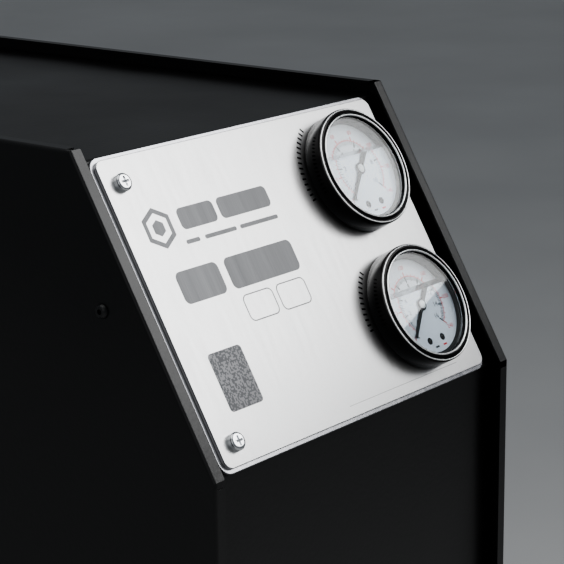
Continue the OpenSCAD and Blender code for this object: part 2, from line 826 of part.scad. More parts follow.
module fan_cover() {
    depth = 40;
    slots = 12;
    color([0.16, 0.17, 0.19]) on_drive(fan_y) difference() {
        rod_y(depth, fin_reach - 1);
        translate([0, -1, 0]) rod_y(depth - 0.5, fin_reach - 2.5);
        for (i = [0:slots - 1], r = [20, 34]) {
            rotate([0, i * 360 / slots, 0]) translate([r, depth - 3, -2]) cube([10, 5, 4]);
        }
    }
}

// ---- Membrane vessels ----

module vessel(side) {
    translate([side * vessel_x, vessel_y, vessel_z]) ring(vessel_r, vessel_r - 4, vessel_len);
}

module left_vessel() { color([0.92, 0.92, 0.9]) vessel(-1); }
module right_vessel() { color([0.92, 0.92, 0.9]) vessel(1); }

// End cap with its side port towards the front; z = 0 is its seat on the tube's end
module vessel_cap(centre_port) {
    skirt = 15;
    side_port_r = 8;
    difference() {
        union() {
            translate([0, 0, -skirt]) cylinder(h = skirt + cap_end, r = cap_r);
            translate([0, -cap_r - 10, cap_end / 2]) rod_y(cap_r, side_port_r);
            if (centre_port) cylinder(h = cap_end + 14, r = side_port_r);
        }
        translate([0, 0, -skirt - 1]) cylinder(h = skirt + 1, r = vessel_r + 0.05);
        translate([0, -cap_r - 11, cap_end / 2]) rod_y(cap_r + 8, 3.4);
        if (centre_port) translate([0, 0, -1]) cylinder(h = cap_end + 20, r = 3.4);
    }
}

module vessel_caps() {
    color([0.25, 0.26, 0.28]) for (x = [-1, 1]) {
        translate([x * vessel_x, vessel_y, vessel_z + vessel_len]) vessel_cap(true);
        translate([x * vessel_x, vessel_y, vessel_z]) mirror([0, 0, 1]) vessel_cap(false);
    }
}

module membrane_elements() {
    color([0.88, 0.9, 0.92]) for (x = [-1, 1]) {
        translate([x * vessel_x, vessel_y, vessel_z + 8]) cylinder(h = vessel_len - 16, r = vessel_r - 6);
        translate([x * vessel_x, vessel_y, vessel_z + 2]) cylinder(h = vessel_len - 4, r = 9);
    }
}

// ---- Valves, switches and electrics ----

valve_half = 12;
sleeve_l = 40;

module at_valve(z) { translate([port_x, valve_y, z]) children(); }

module solenoid_body() {
    color([0.72, 0.6, 0.32]) at_valve(port_z[0]) difference() {
        union() {
            translate([-valve_half, -23, -11]) cube([2 * valve_half, 46, 22]);
            translate([-valve_half - sleeve_l, 0, 0]) rod_x(sleeve_l, 6.5);
        }
        translate([0, -24, 0]) rod_y(48, 4);
        translate([-valve_half - sleeve_l + 2, 0, 0]) rod_x(sleeve_l + 4, 5.06);
    }
}

module solenoid_coil() {
    color([0.1, 0.1, 0.1]) at_valve(port_z[0]) difference() {
        translate([-valve_half - 36, -16, -16]) cube([35, 32, 32]);
        translate([-valve_half - 40, 0, 0]) rod_x(44, 6.6);
    }
}

// Seated at rest; the coil draws it in by plunger_lift
plunger_lift = 3;

module solenoid_plunger() {
    color([0.65, 0.65, 0.67]) at_valve(port_z[0]) translate([-valve_half - 22, 0, 0]) rod_x(24, 5);
}

module needle_valve_body() {
    color([0.72, 0.6, 0.32]) at_valve(port_z[1]) difference() {
        union() {
            translate([-valve_half, -20, -10]) cube([2 * valve_half, 40, 20]);
            cylinder(h = 19, r = 8);
        }
        translate([0, -21, 0]) rod_y(42, 3);
        translate([0, 0, -2]) cylinder(h = 30, r = 3.05);
    }
}

module needle_valve_knob() {
    grips = 18;
    color([0.1, 0.1, 0.1]) at_valve(port_z[1]) {
        translate([0, 0, 19.5]) difference() {
            cylinder(h = 13, r = 13);
            for (i = [0:grips - 1]) {
                rotate([0, 0, i * 360 / grips]) translate([13.3, 0, -1]) cylinder(h = 16, r = 1.2);
            }
        }
        cylinder(h = 20, r = 3);
    }
}

// Each screws into a saddle on its tube
module pressure_switch() {
    ring(9, tube_d / 2 + 0.02, 16);
    difference() {
        union() {
            translate([0, 7, 8]) rod_y(14, 5);
            translate([0, 20, 8]) rod_y(26, 11);
        }
        translate([0, 0, -1]) cylinder(h = 18, r = 8.9);
    }
    for (x = [-4, 4]) translate([x - 0.4, 46, 5]) cube([0.8, 7, 6]);
}

module pressure_switches() {
    color([0.12, 0.12, 0.13]) {
        translate([-side_tube_x, port_mid_y, z_base + 180]) pressure_switch();
        translate([vessel_x, port_mid_y, z_base + 230]) pressure_switch();
    }
}

module controller_box() {
    w = 100;
    h = 140;
    depth = 36;
    color([0.8, 0.81, 0.8]) translate([-10, mid_y + mid_t, z_base + 202]) rotate([-90, 0, 0]) {
        difference() {
            linear_extrude(depth) rounded_rect(w, h, 5);
            translate([0, 0, 2]) linear_extrude(depth - 5) rounded_rect(w - 5, h - 5, 3);
            for (x = [-w / 2 + 6, w / 2 - 6], y = [-h / 2 + 6, h / 2 - 6]) {
                translate([x, y, depth - 1.5]) cylinder(h = 3, r = 3);
            }
        }
        for (x = [-25, 0, 25]) translate([x, h / 2, depth / 2]) rotate([-90, 0, 0]) cylinder(h = 12, r = 8);
    }
}

socket_low = -19;
socket_h = 17;
socket_w = 24.6;
rocker_z = inlet_z + 12.5;
rocker_h = 14.4;
pocket = [24, 15];
rocker_pivot_y = y_rear - 3;

module power_inlet() {
    depth = 28;
    flange = 2;
    color([0.08, 0.08, 0.08]) translate([inlet_x, y_rear, 0]) difference() {
        union() {
            translate([-17, 0, inlet_z - 27]) cube([34, flange, 54]);
            translate([-inlet_cut.x / 2 + 0.2, -depth, inlet_z - inlet_cut.y / 2 + 0.2])
                cube([inlet_cut.x - 0.4, depth, inlet_cut.y - 0.4]);
        }
        translate([-socket_w / 2, -18, inlet_z + socket_low]) cube([socket_w, 30, socket_h]);
        translate([-pocket.x / 2, -12, rocker_z - pocket.y / 2]) cube([pocket.x, 20, pocket.y]);
        translate([0, rocker_pivot_y - y_rear, rocker_z - 8.6]) cylinder(h = 17.2, r = 1.27);
    }
    color([0.8, 0.8, 0.78]) for (p = [[-7, 0], [0, 4], [7, 0]]) {
        translate([inlet_x + p.x - 1, y_rear - 18.5, inlet_z + socket_low + socket_h / 2 - 3 + p.y])
            cube([2, 13, 4]);
    }
}

// Rocker, shown switched off
rocker_throw = 8;

module rocker_switch() {
    half = 10;
    color([0.55, 0.06, 0.05]) translate([inlet_x, rocker_pivot_y, rocker_z]) rotate([0, 0, rocker_throw]) {
        translate([0, 0, -rocker_h / 2]) linear_extrude(rocker_h)
            polygon([[-half, -5], [half, -5], [half + 0.3, 4.2], [0, 3], [-half - 0.3, 4.2]]);
        translate([0, 0, -8.3]) cylinder(h = 16.6, r = 1.2);
    }
}

// Push-fit ports through the rear panel, each with its nut
port_bore_r = 4.8;

module bulkhead_port() {
    difference() {
        union() {
            translate([0, -sheet - 18, 0]) rod_y(sheet + 18, 10);
            rotate([-90, 0, 0]) hex_bar(25, 6);
            rod_y(port_nose, 9);
        }
        translate([0, port_nose - 16, 0]) rod_y(17, port_bore_r);
        translate([0, -sheet - 19, 0]) rod_y(1 + tube_in, tube_d / 2 + 0.02);
        translate([0, -sheet - 19, 0]) rod_y(40, 3.2);
    }
    translate([0, -sheet - 7, 0]) rotate([-90, 0, 0]) difference() {
        hex_bar(25, 6.98);
        translate([0, 0, -1]) cylinder(h = 9, r = 10.02);
    }
}

module bulkhead_ports() {
    color([0.88, 0.88, 0.86]) for (z = port_z) translate([port_x, y_rear, z]) bulkhead_port();
}

// ---- Tubes and their fittings ----

wide_bend = 24;
small_bend = 19;
gauge_bend = 16;
tube_in = 12;
collar_r = 8;
collar_l = 10;
gauge_elbow_z = -47;

function elbow_point(i) = let (p = console_point(gauge_places[i], -plate_drop + gauge_elbow_z))
    [gauge_x, hundredths(p.x), hundredths(p.y)];

module collar(axis, place, length = collar_l) {
    translate(place) rotate(axis) ring(collar_r, tube_d / 2 + 0.02, length);
}

module collar_x(place, length = collar_l) { collar([0, 90, 0], place, length); }
module collar_y(place, length = collar_l) { collar([-90, 0, 0], place, length); }

// Tee on an upright tube, its branch towards +X or -X
module gauge_tee(place, side) {
    translate(place) {
        translate([0, 0, -14]) ring(collar_r, tube_d / 2 + 0.02, 28);
        rotate([0, side * 90, 0]) difference() {
            translate([0, 0, 7]) cylinder(h = 11, r = 6);
            translate([0, 0, 9]) cylinder(h = 10, r = gauge_tube_d / 2 + 0.02);
        }
    }
}

// Elbow under a gauge's stem, its tube leaving towards -X
module gauge_elbow() {
    half = 8;
    difference() {
        union() {
            translate([-half, -half, -half]) cube(2 * half);
            cylinder(h = stem_end - gauge_elbow_z - 0.02, r = half);
            translate([-18, 0, 0]) rod_x(14, 6);
        }
        translate([-19, 0, 0]) rod_x(10, gauge_tube_d / 2 + 0.02);
    }
}

module tube_fittings() {
    head_elbow = side_tube_x + 9 - 2 * filter_x;
    color([0.9, 0.9, 0.88]) {
        for (side = [-1, 1]) {
            // Elbows on the prefilter heads
            translate([side * (2 * filter_x + head_elbow / 2 + 0.01), filter_y, head_port_z])
                cube([head_elbow - 0.02, 18, 18], center = true);
            collar_y([side * side_tube_x, filter_y + 9, head_port_z]);
            // Blocks on the permeate ports and collars on the side ports
            translate([side * vessel_x, vessel_y, permeate_z]) cube(16, center = true);
            collar_x([side * vessel_x + (side < 0 ? 8 : -8 - collar_l), vessel_y, permeate_z]);
            for (z = [low_port_z, high_port_z]) {
                collar_y([side * vessel_x, cap_port_y - collar_l - 0.02, z]);
            }
            // Pump ports
            collar_x([drive_x + side * (pump_half + 3.02) - 3, port_mid_y, drive_z], 6);
        }
        collar_x([vessel_x + 8, vessel_y, permeate_z]);
        for (side = [-1, 1]) {
            collar_y([port_x, valve_y + side * (23.02 + collar_l / 2) - collar_l / 2, port_z[0]]);
            collar_y([port_x, valve_y + side * (20.02 + collar_l / 2) - collar_l / 2, port_z[1]]);
        }
        gauge_tee([-side_tube_x, port_mid_y, low_tee_z], 1);
        gauge_tee([vessel_x, port_mid_y, elbow_point(1).z], -1);
        for (i = [0, 1]) on_gauge(i) translate([0, 0, gauge_elbow_z]) gauge_elbow();
    }
}

module feed_tubes() {
    y_up = mid_y + 30;
    elbow_y = filter_y + 9;
    tube_run([[port_x, port_in_y + tube_in, port_z[0]], [port_x, valve_y + 23, port_z[0]]],
        tube_d, wide_bend);
    tube_run([[port_x, valve_y - 23, port_z[0]], [port_x, y_up, port_z[0]],
        [port_x, y_up, head_port_z], [port_x, elbow_y, head_port_z]], tube_d, wide_bend);
    tube_run([[-side_tube_x, elbow_y, head_port_z], [-side_tube_x, port_mid_y, head_port_z],
        [-side_tube_x, port_mid_y, drive_z], [drive_x - pump_half, port_mid_y, drive_z]],
        tube_d, wide_bend);
}

module pressure_tubes() {
    cross_y = cap_port_y - 38;
    cross_z = vessel_z + 50;
    tube_run([[drive_x + pump_half, port_mid_y, drive_z], [vessel_x, port_mid_y, drive_z],
        [vessel_x, port_mid_y, high_port_z], [vessel_x, cap_port_y, high_port_z]],
        tube_d, wide_bend);
    tube_run([[vessel_x, cap_port_y, low_port_z], [vessel_x, cross_y, low_port_z],
        [-vessel_x, cross_y, low_port_z], [-vessel_x, cap_port_y, low_port_z]],
        tube_d, wide_bend);
    tube_run([[-vessel_x, cap_port_y, high_port_z], [-vessel_x, cross_y, high_port_z],
        [0, cross_y, high_port_z], [0, cross_y, cross_z], [port_x, cross_y, cross_z],
        [port_x, cross_y, port_z[1]], [port_x, valve_y - 20, port_z[1]]], tube_d, wide_bend);
    tube_run([[port_x, valve_y + 20, port_z[1]], [port_x, port_in_y + tube_in, port_z[1]]],
        tube_d, wide_bend);
}

module permeate_tubes() {
    drop_y = port_in_y - 20;
    tube_run([[-vessel_x + 8, vessel_y, permeate_z], [vessel_x - 8, vessel_y, permeate_z]],
        tube_d, small_bend);
    tube_run([[vessel_x + 8, vessel_y, permeate_z], [port_x, vessel_y, permeate_z],
        [port_x, drop_y, permeate_z], [port_x, drop_y, port_z[2]],
        [port_x, port_in_y + tube_in, port_z[2]]], tube_d, small_bend);
}

module gauge_tubes() {
    upper = elbow_point(0);
    lower = elbow_point(1);
    down_x = -70;
    back_x = 25;
    tube_run([upper - [9, 0, 0], [down_x, upper.y, upper.z], [down_x, port_mid_y, upper.z],
        [down_x, port_mid_y, low_tee_z], [9 - side_tube_x, port_mid_y, low_tee_z]],
        gauge_tube_d, gauge_bend);
    tube_run([lower - [9, 0, 0], [back_x, lower.y, lower.z], [back_x, port_mid_y, lower.z],
        [vessel_x - 9, port_mid_y, lower.z]], gauge_tube_d, gauge_bend);
}

module water_tubes() {
    color([0.9, 0.91, 0.93]) {
        feed_tubes();
        pressure_tubes();
        permeate_tubes();
        gauge_tubes();
    }
}

base_pan();
left_side_panel();
right_side_panel();
wrap_panel();
rear_panel();
backing_plate();
fascia_plate();
fascia_screws();
cabinet_screws();
rubber_feet();
chassis_bolts();
gauge_part(0, "case");  // filter_gauge_case
gauge_part(0, "bezel");  // filter_gauge_bezel
gauge_part(0, "window");  // filter_gauge_window
gauge_part(0, "dial");  // filter_gauge_dial
gauge_part(0, "pointer");  // filter_gauge_pointer
gauge_part(0, "sector");  // filter_gauge_sector
gauge_part(0, "movement");  // filter_gauge_movement
gauge_part(0, "clamp");  // filter_gauge_clamp
gauge_part(1, "case");  // pump_gauge_case
gauge_part(1, "bezel");  // pump_gauge_bezel
gauge_part(1, "window");  // pump_gauge_window
gauge_part(1, "dial");  // pump_gauge_dial
gauge_part(1, "pointer");  // pump_gauge_pointer
gauge_part(1, "sector");  // pump_gauge_sector
gauge_part(1, "movement");  // pump_gauge_movement
gauge_part(1, "clamp");  // pump_gauge_clamp
mid_plate();
filter_bracket();
membrane_rack();
vessel_clips();
motor_cradle();
sediment_head();
sediment_bowl();
sediment_cartridge();
carbon_head();
carbon_bowl();
carbon_cartridge();
pump_body();
pump_rotor();
motor_housing();
motor_rotor();
motor_fan();
fan_cover();
left_vessel();
right_vessel();
vessel_caps();
membrane_elements();
solenoid_body();
solenoid_coil();
solenoid_plunger();
needle_valve_body();
needle_valve_knob();
pressure_switches();
controller_box();
power_inlet();
rocker_switch();
bulkhead_ports();
tube_fittings();
water_tubes();
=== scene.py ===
"""Looks of a compact reverse osmosis unit: a black folded-sheet cabinet with a bright gauge console."""

import json
import math

import bmesh
import bpy
from mathutils import Matrix, Quaternion, Vector


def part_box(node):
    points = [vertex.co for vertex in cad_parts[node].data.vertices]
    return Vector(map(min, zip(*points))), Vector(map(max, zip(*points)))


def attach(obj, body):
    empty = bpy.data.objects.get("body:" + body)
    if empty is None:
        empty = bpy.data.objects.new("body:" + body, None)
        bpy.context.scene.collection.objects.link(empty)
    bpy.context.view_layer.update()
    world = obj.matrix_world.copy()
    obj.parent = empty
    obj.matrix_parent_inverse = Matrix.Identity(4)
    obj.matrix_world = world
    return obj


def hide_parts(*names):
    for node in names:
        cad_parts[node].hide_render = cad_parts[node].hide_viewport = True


MM = 0.001

# The cabinet's folded sheet
SHEET = 1.5 * MM
FLANGE = 7.4 * MM
BEND = 1.7 * MM
WRAP_BEND = 3.0 * MM
# The side panels' sloping edges stand this far above the fascia's face
RIM_HEIGHT = 3.8 * MM

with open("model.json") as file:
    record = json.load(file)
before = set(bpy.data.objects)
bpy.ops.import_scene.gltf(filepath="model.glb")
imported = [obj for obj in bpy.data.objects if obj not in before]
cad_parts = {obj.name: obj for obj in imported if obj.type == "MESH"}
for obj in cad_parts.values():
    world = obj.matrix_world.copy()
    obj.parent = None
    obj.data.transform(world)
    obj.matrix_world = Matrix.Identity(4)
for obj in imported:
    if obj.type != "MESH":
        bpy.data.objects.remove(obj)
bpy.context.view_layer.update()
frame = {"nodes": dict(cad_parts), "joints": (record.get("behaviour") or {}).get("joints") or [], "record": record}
joints = {joint["name"]: joint for joint in frame["joints"]}


# ---- The console's own frame ----

def gauge_frame(name):
    """X across, Y up the slope, Z out of the console, from the gauge's middle on the fascia's face."""
    turn = joints[name + "_pointer_turn"]
    out = -Vector(turn["axis"])
    across = Vector((1, 0, 0))
    up = out.cross(across)
    matrix = Matrix((across, up, out)).transposed().to_4x4()
    matrix.translation = Vector(turn["pos_m"])
    return matrix


FILTER_GAUGE = gauge_frame("filter")
PUMP_GAUGE = gauge_frame("pump")
UP_SLOPE = FILTER_GAUGE.col[1].to_3d()
OUT = FILTER_GAUGE.col[2].to_3d()

side_low, side_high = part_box("left_side_panel")
plate_low, plate_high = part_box("fascia_plate")
face_level = FILTER_GAUGE.translation.dot(OUT)


def slope_y_at(z, level):
    """Y of a plane parallel to the console at a height; level is the plane's distance along OUT."""
    return (level - OUT.z * z) / OUT.y


def slope_z_at(y, level):
    """Z of the same plane at a depth."""
    return (level - OUT.y * y) / OUT.z


# Middle of the fascia's top edge, on its face, and the frame of the plate from there
top_edge = Vector((0, slope_y_at(plate_high.z, face_level), plate_high.z))
PLATE = FILTER_GAUGE.copy()
PLATE.translation = top_edge


# ---- Mesh helpers ----

def into_mesh(name, bm):
    """Writes a bmesh into a new mesh and frees it."""
    mesh = bpy.data.meshes.new(name)
    bm.to_mesh(mesh)
    bm.free()
    return mesh


def finish_mesh(name, bm, matrix=None, smooth=40):
    """A new object from a bmesh, shaded smooth but for edges sharper than the given angle."""
    bmesh.ops.recalc_face_normals(bm, faces=bm.faces)
    for face in bm.faces:
        face.smooth = True
    for edge in bm.edges:
        edge.smooth = len(edge.link_faces) == 2 and edge.calc_face_angle(0) < math.radians(smooth)
    piece = bpy.data.objects.new(name, into_mesh(name, bm))
    if matrix is not None:
        piece.matrix_world = matrix
    bpy.context.scene.collection.objects.link(piece)
    return piece


def add_meshes(bm, meshes):
    """Gathers meshes into one bmesh."""
    for mesh in meshes:
        bm.from_mesh(mesh)
        bpy.data.meshes.remove(mesh)


def mesh_of(curve):
    """The mesh that a curve or a text fills."""
    holder = bpy.data.objects.new("outline", curve)
    bpy.context.scene.collection.objects.link(holder)
    bpy.context.view_layer.update()
    mesh = bpy.data.meshes.new_from_object(holder)
    bpy.data.objects.remove(holder)
    return mesh


def round_edges(piece, width, angle):
    """A small round on every edge that is sharper than the angle."""
    bevel = piece.modifiers.new("round", "BEVEL")
    bevel.width = width * MM
    bevel.segments = 2
    bevel.limit_method = "ANGLE"
    bevel.angle_limit = math.radians(angle)


def arc(centre, radius, start, end, steps):
    """Points of an arc with both its ends, angles in degrees."""
    points = []
    for i in range(steps + 1):
        a = math.radians(start + (end - start) * i / steps)
        points.append((centre[0] + radius * math.cos(a), centre[1] + radius * math.sin(a)))
    return points


def polar(radius, angle):
    """The point at a distance from the origin and an angle in radians."""
    return radius * math.cos(angle), radius * math.sin(angle)


def circle(radius, count, centre=(0, 0)):
    """Evenly spaced points round a whole circle."""
    return arc(centre, radius, 0, 360 - 360 / count, count - 1)


def lathe(bm, profile, segments=96, closed=True):
    """Turns a profile of (radius, height) in millimetres about Z; an open one ends on the axis."""
    rings = []
    for radius, height in profile:
        if radius == 0:
            rings.append([bm.verts.new((0, 0, height * MM))] * segments)
            continue
        ring = []
        for i in range(segments):
            a = 2 * math.pi * i / segments
            ring.append(bm.verts.new((radius * MM * math.cos(a), radius * MM * math.sin(a), height * MM)))
        rings.append(ring)
    pairs = list(zip(rings, rings[1:]))
    if closed:
        pairs.append((rings[-1], rings[0]))
    for low, high in pairs:
        for i in range(segments):
            j = (i + 1) % segments
            corners = []
            for v in (low[i], low[j], high[j], high[i]):
                if v not in corners:
                    corners.append(v)
            if len(corners) > 2:
                bm.faces.new(corners)


def prism(bm, outline, low, high, edge=0.0):
    """A straight prism over an outline in millimetres, with an optional chamfer round its top."""
    levels = [(low, 0.0), (high - edge, 0.0)]
    if edge > 0:
        levels.append((high, edge))
    rings = []
    for height, inset in levels:
        shape = inset_outline(outline, inset) if inset else outline
        rings.append([bm.verts.new((x * MM, y * MM, height * MM)) for x, y in shape])
    bm.faces.new(rings[0][::-1])
    bm.faces.new(rings[-1])
    for lower, upper in zip(rings, rings[1:]):
        for i in range(len(lower)):
            j = (i + 1) % len(lower)
            bm.faces.new((lower[i], lower[j], upper[j], upper[i]))


def inset_outline(outline, inset):
    """Moves each edge of a counter-clockwise outline inwards, with a limit where a corner is very sharp."""
    sharpest = 0.2
    moved = []
    count = len(outline)
    for i in range(count):
        before = Vector(outline[i - 1])
        here = Vector(outline[i])
        after = Vector(outline[(i + 1) % count])
        u = (here - before).normalized()
        v = (after - here).normalized()
        left = Vector((-u.y, u.x)) + Vector((-v.y, v.x))
        moved.append(tuple(here + left * inset / max(sharpest, 1 + u.dot(v))))
    return moved


def rounded_box(width, height, radius, steps=6):
    """A counter-clockwise rounded rectangle about the origin."""
    points = []
    for sx, sy, start in ((1, 1, 0), (-1, 1, 90), (-1, -1, 180), (1, -1, 270)):
        centre = (sx * (width / 2 - radius), sy * (height / 2 - radius))
        points += arc(centre, radius, start, start + 90, steps)
    return points


def scaled(outline, factor):
    return [(px * factor, py * factor) for px, py in outline]


def shifted(outline, x, y):
    return [(px + x, py + y) for px, py in outline]


# ---- Materials ----

class Nodes:
    """Short names for building a node tree."""

    def __init__(self, name):
        self.material = bpy.data.materials.new(name)
        self.material.use_nodes = True
        self.tree = self.material.node_tree
        self.shader = self.tree.nodes["Principled BSDF"]
        self.output = self.tree.nodes["Material Output"]

    def add(self, kind, **settings):
        node = self.tree.nodes.new(kind)
        for key, value in settings.items():
            setattr(node, key, value)
        return node

    def link(self, source, target):
        self.tree.links.new(source, target)

    def set(self, **values):
        """Sets the shader's own sockets; an underscore stands for a space."""
        for key, value in values.items():
            self.shader.inputs[key.replace("_", " ")].default_value = value

    def place(self, stretch=(1, 1, 1)):
        """Object coordinates, divided by the stretch along each axis."""
        where = self.add("ShaderNodeTexCoord")
        mapping = self.add("ShaderNodeMapping", vector_type="TEXTURE")
        mapping.inputs["Scale"].default_value = stretch
        self.link(where.outputs["Object"], mapping.inputs["Vector"])
        return mapping.outputs["Vector"]

    def noise(self, vector, scale, detail, rough):
        node = self.add("ShaderNodeTexNoise")
        node.inputs["Scale"].default_value = scale
        node.inputs["Detail"].default_value = detail
        node.inputs["Roughness"].default_value = rough
        self.link(vector, node.inputs["Vector"])
        return node.outputs["Fac"]

    def spread(self, value, low, high, from_low=0.3, from_high=0.7):
        """Maps a value's range, by default the middle of a noise's, onto another one."""
        node = self.add("ShaderNodeMapRange")
        node.inputs["From Min"].default_value = from_low
        node.inputs["From Max"].default_value = from_high
        node.inputs["To Min"].default_value = low
        node.inputs["To Max"].default_value = high
        self.link(value, node.inputs["Value"])
        return node.outputs["Result"]

    def mix(self, factor, first, second):
        """Blends two colours and gives the blend to the shader."""
        node = self.add("ShaderNodeMix", data_type="RGBA")
        self.link(factor, node.inputs["Factor"])
        first_input, second_input = [s for s in node.inputs if s.type == "RGBA"]
        first_input.default_value = (*first, 1)
        second_input.default_value = (*second, 1)
        blend = [s for s in node.outputs if s.type == "RGBA"][0]
        self.link(blend, self.shader.inputs["Base Color"])

    def roughness(self, value, low, high, **source):
        """Lets a value drive the shader's roughness between two limits."""
        self.link(self.spread(value, low, high, **source), self.shader.inputs["Roughness"])

    def bump(self, height, distance, strength):
        node = self.add("ShaderNodeBump")
        node.inputs["Distance"].default_value = distance
        node.inputs["Strength"].default_value = strength
        self.link(height, node.inputs["Height"])
        self.link(node.outputs["Normal"], self.shader.inputs["Normal"])


def shade(colour, factor):
    """A lighter or darker colour."""
    return tuple(min(1.0, c * factor) for c in colour)


def powder_coat(name, colour, rough):
    """Powder coat or enamel: an orange-peel bump with faint cloudiness."""
    n = Nodes(name)
    where = n.place()
    peel = n.noise(where, scale=420, detail=3.0, rough=0.55)
    cloud = n.noise(where, scale=9, detail=3.0, rough=0.5)
    n.mix(n.spread(cloud, 0, 1), shade(colour, 0.82), shade(colour, 1.2))
    n.roughness(cloud, rough - 0.04, rough + 0.05)
    n.bump(peel, distance=0.00025, strength=0.35)
    n.set(Specular_IOR_Level=0.9)
    return n.material


def brushed(name, colour, rough, stretch=(1, 1, 80), grain=2600, depth=0.00002, contrast=0.1):
    """Metal with a brushed grain: long fine streaks in colour, roughness and bump."""
    n = Nodes(name)
    where = n.place(stretch)
    streaks = n.noise(where, scale=grain, detail=3.0, rough=0.7)
    broad = n.noise(where, scale=grain / 12, detail=2.0, rough=0.5)
    n.mix(n.spread(streaks, 0, 1), shade(colour, 1 - contrast), shade(colour, 1 + contrast / 2))
    n.roughness(broad, rough - contrast / 3, rough + contrast / 3)
    n.bump(streaks, distance=depth, strength=0.5)
    n.set(Metallic=1.0)
    return n.material


def polished(name, colour, rough):
    """Plated metal with faint hazing."""
    n = Nodes(name)
    haze = n.noise(n.place(), scale=160, detail=4.0, rough=0.6)
    n.mix(n.spread(haze, 0, 1), shade(colour, 0.95), shade(colour, 1.03))
    n.roughness(haze, rough * 0.7, rough * 1.6)
    n.set(Metallic=1.0)
    return n.material


def moulded(name, colour, rough, grain=900, depth=0.00003, coat=0.0, gloss=0.5):
    """Plastic, rubber, fibre or print with a fine grain."""
    n = Nodes(name)
    where = n.place()
    fine = n.noise(where, scale=grain, detail=2.0, rough=0.5)
    cloud = n.noise(where, scale=14, detail=3.0, rough=0.5)
    n.mix(n.spread(cloud, 0, 1), shade(colour, 0.9), shade(colour, 1.08))
    n.roughness(cloud, rough - 0.04, rough + 0.05)
    n.bump(fine, distance=depth, strength=0.4)
    n.set(Coat_Weight=coat, Specular_IOR_Level=gloss)
    return n.material


def clear(name, ior, tint, rough, gloss=0.5):
    """Clear glass or liquid: rays from lamps pass straight through it."""
    n = Nodes(name)
    smear = n.noise(n.place(), scale=60, detail=3.0, rough=0.6)
    n.roughness(smear, rough * 0.6, rough * 1.5)
    n.set(Base_Color=(*tint, 1), Transmission_Weight=1.0, IOR=ior, Specular_IOR_Level=gloss)
    through = n.add("ShaderNodeBsdfTransparent")
    through.inputs["Color"].default_value = (*shade(tint, 0.94), 1)
    path = n.add("ShaderNodeLightPath")
    both = n.add("ShaderNodeMixShader")
    n.link(path.outputs["Is Shadow Ray"], both.inputs[0])
    n.link(n.shader.outputs[0], both.inputs[1])
    n.link(through.outputs[0], both.inputs[2])
    n.link(both.outputs[0], n.output.inputs["Surface"])
    return n.material


def random_squares(name, square, dark, light):
    """Grey print filled with a plain random field of small squares."""
    n = Nodes(name)
    cells = n.add("ShaderNodeVectorMath", operation="SNAP")
    n.link(n.place(), cells.inputs[0])
    cells.inputs[1].default_value = (square, square, 0.5)
    chance = n.add("ShaderNodeTexWhiteNoise", noise_dimensions="3D")
    n.link(cells.outputs["Vector"], chance.inputs["Vector"])
    squares = n.spread(chance.outputs["Value"], 0, 1, from_low=0.5, from_high=0.52)
    n.mix(squares, dark, light)
    n.roughness(squares, 0.4, 0.3, from_low=0, from_high=1)
    n.set(Metallic=0.6)
    return n.material


ALONG_Y = {"stretch": (1, 80, 1)}
LOOKS = {
    "cabinet_black": powder_coat("powder_coat_black", (0.0065, 0.006, 0.006), 0.33),
    "fascia_steel": brushed("fascia_steel", (0.74, 0.74, 0.738), 0.32, grain=3600, depth=0.000002,
                            contrast=0.06, stretch=(1, 9, 1)),
    "backing_steel": brushed("backing_steel", (0.55, 0.55, 0.57), 0.22, **ALONG_Y),
    "bright_screw": polished("bright_screw", (0.78, 0.79, 0.8), 0.1),
    "black_screw": powder_coat("black_oxide", (0.02, 0.02, 0.02), 0.38),
    "zinc_steel": brushed("zinc_sheet", (0.62, 0.64, 0.66), 0.36),
    # Chrome darkened to near black: a painted dark reflection of the room on the bezels' skirt, lip and groove
    "bezel_chrome": polished("bezel_chrome", (0.035, 0.034, 0.034), 0.12),
    "case_steel": brushed("case_steel", (0.5, 0.51, 0.53), 0.3),
    "gauge_glass": clear("gauge_glass", 1.5, (0.97, 0.99, 1.0), 0.012),
    "dial_white": moulded("dial_white", (0.7, 0.72, 0.76), 0.42, 500, 0.00001, gloss=0.2),
    "pointer_black": moulded("pointer_black", (0.008, 0.008, 0.009), 0.4, gloss=0.1),
    "brass": brushed("brass", (0.72, 0.53, 0.26), 0.3),
    "rubber_black": moulded("rubber", (0.02, 0.02, 0.021), 0.7, 600, 0.00006),
    "filter_blue": moulded("filter_blue", (0.02, 0.09, 0.36), 0.22, coat=0.3),
    "filter_head": moulded("filter_head", (0.02, 0.025, 0.035), 0.34),
    "filter_white": moulded("wound_fibre", (0.8, 0.79, 0.74), 0.85, 300, 0.0004),
    "filter_carbon": moulded("pressed_carbon", (0.03, 0.03, 0.03), 0.8, 500, 0.0003),
    "rotor_steel": brushed("rotor_steel", (0.5, 0.51, 0.53), 0.28),
    "motor_grey": powder_coat("motor_enamel", (0.08, 0.09, 0.11), 0.42),
    "fan_black": moulded("fan_black", (0.03, 0.03, 0.03), 0.5),
    "vessel_white": moulded("vessel_white", (0.78, 0.79, 0.77), 0.3, coat=0.2),
    "cap_grey": moulded("cap_grey", (0.1, 0.11, 0.12), 0.45),
    "membrane_film": moulded("membrane_film", (0.7, 0.75, 0.78), 0.28),
    "black_plastic": moulded("black_plastic", (0.018, 0.018, 0.018), 0.4),
    "controller_grey": moulded("controller_grey", (0.6, 0.61, 0.6), 0.45),
    "rocker_red": moulded("rocker_red", (0.45, 0.02, 0.015), 0.28, coat=0.3),
    "port_white": moulded("port_white", (0.74, 0.75, 0.73), 0.32),
    "tube_clear": moulded("tube_milky", (0.72, 0.76, 0.79), 0.3, coat=0.2),
}
LIQUID = clear("gauge_liquid", 1.42, (0.95, 0.97, 0.985), 0.004, 0.05)
# Chrome lightened to near white on thin beads: a painted highlight along each bezel's two lips
PAINTED_HIGHLIGHT_CHROME = polished("painted_highlight_chrome", (0.9, 0.9, 0.9), 0.2)
ETCH = brushed("etched_grey", (0.16, 0.162, 0.166), 0.34, depth=0.00001, **ALONG_Y)
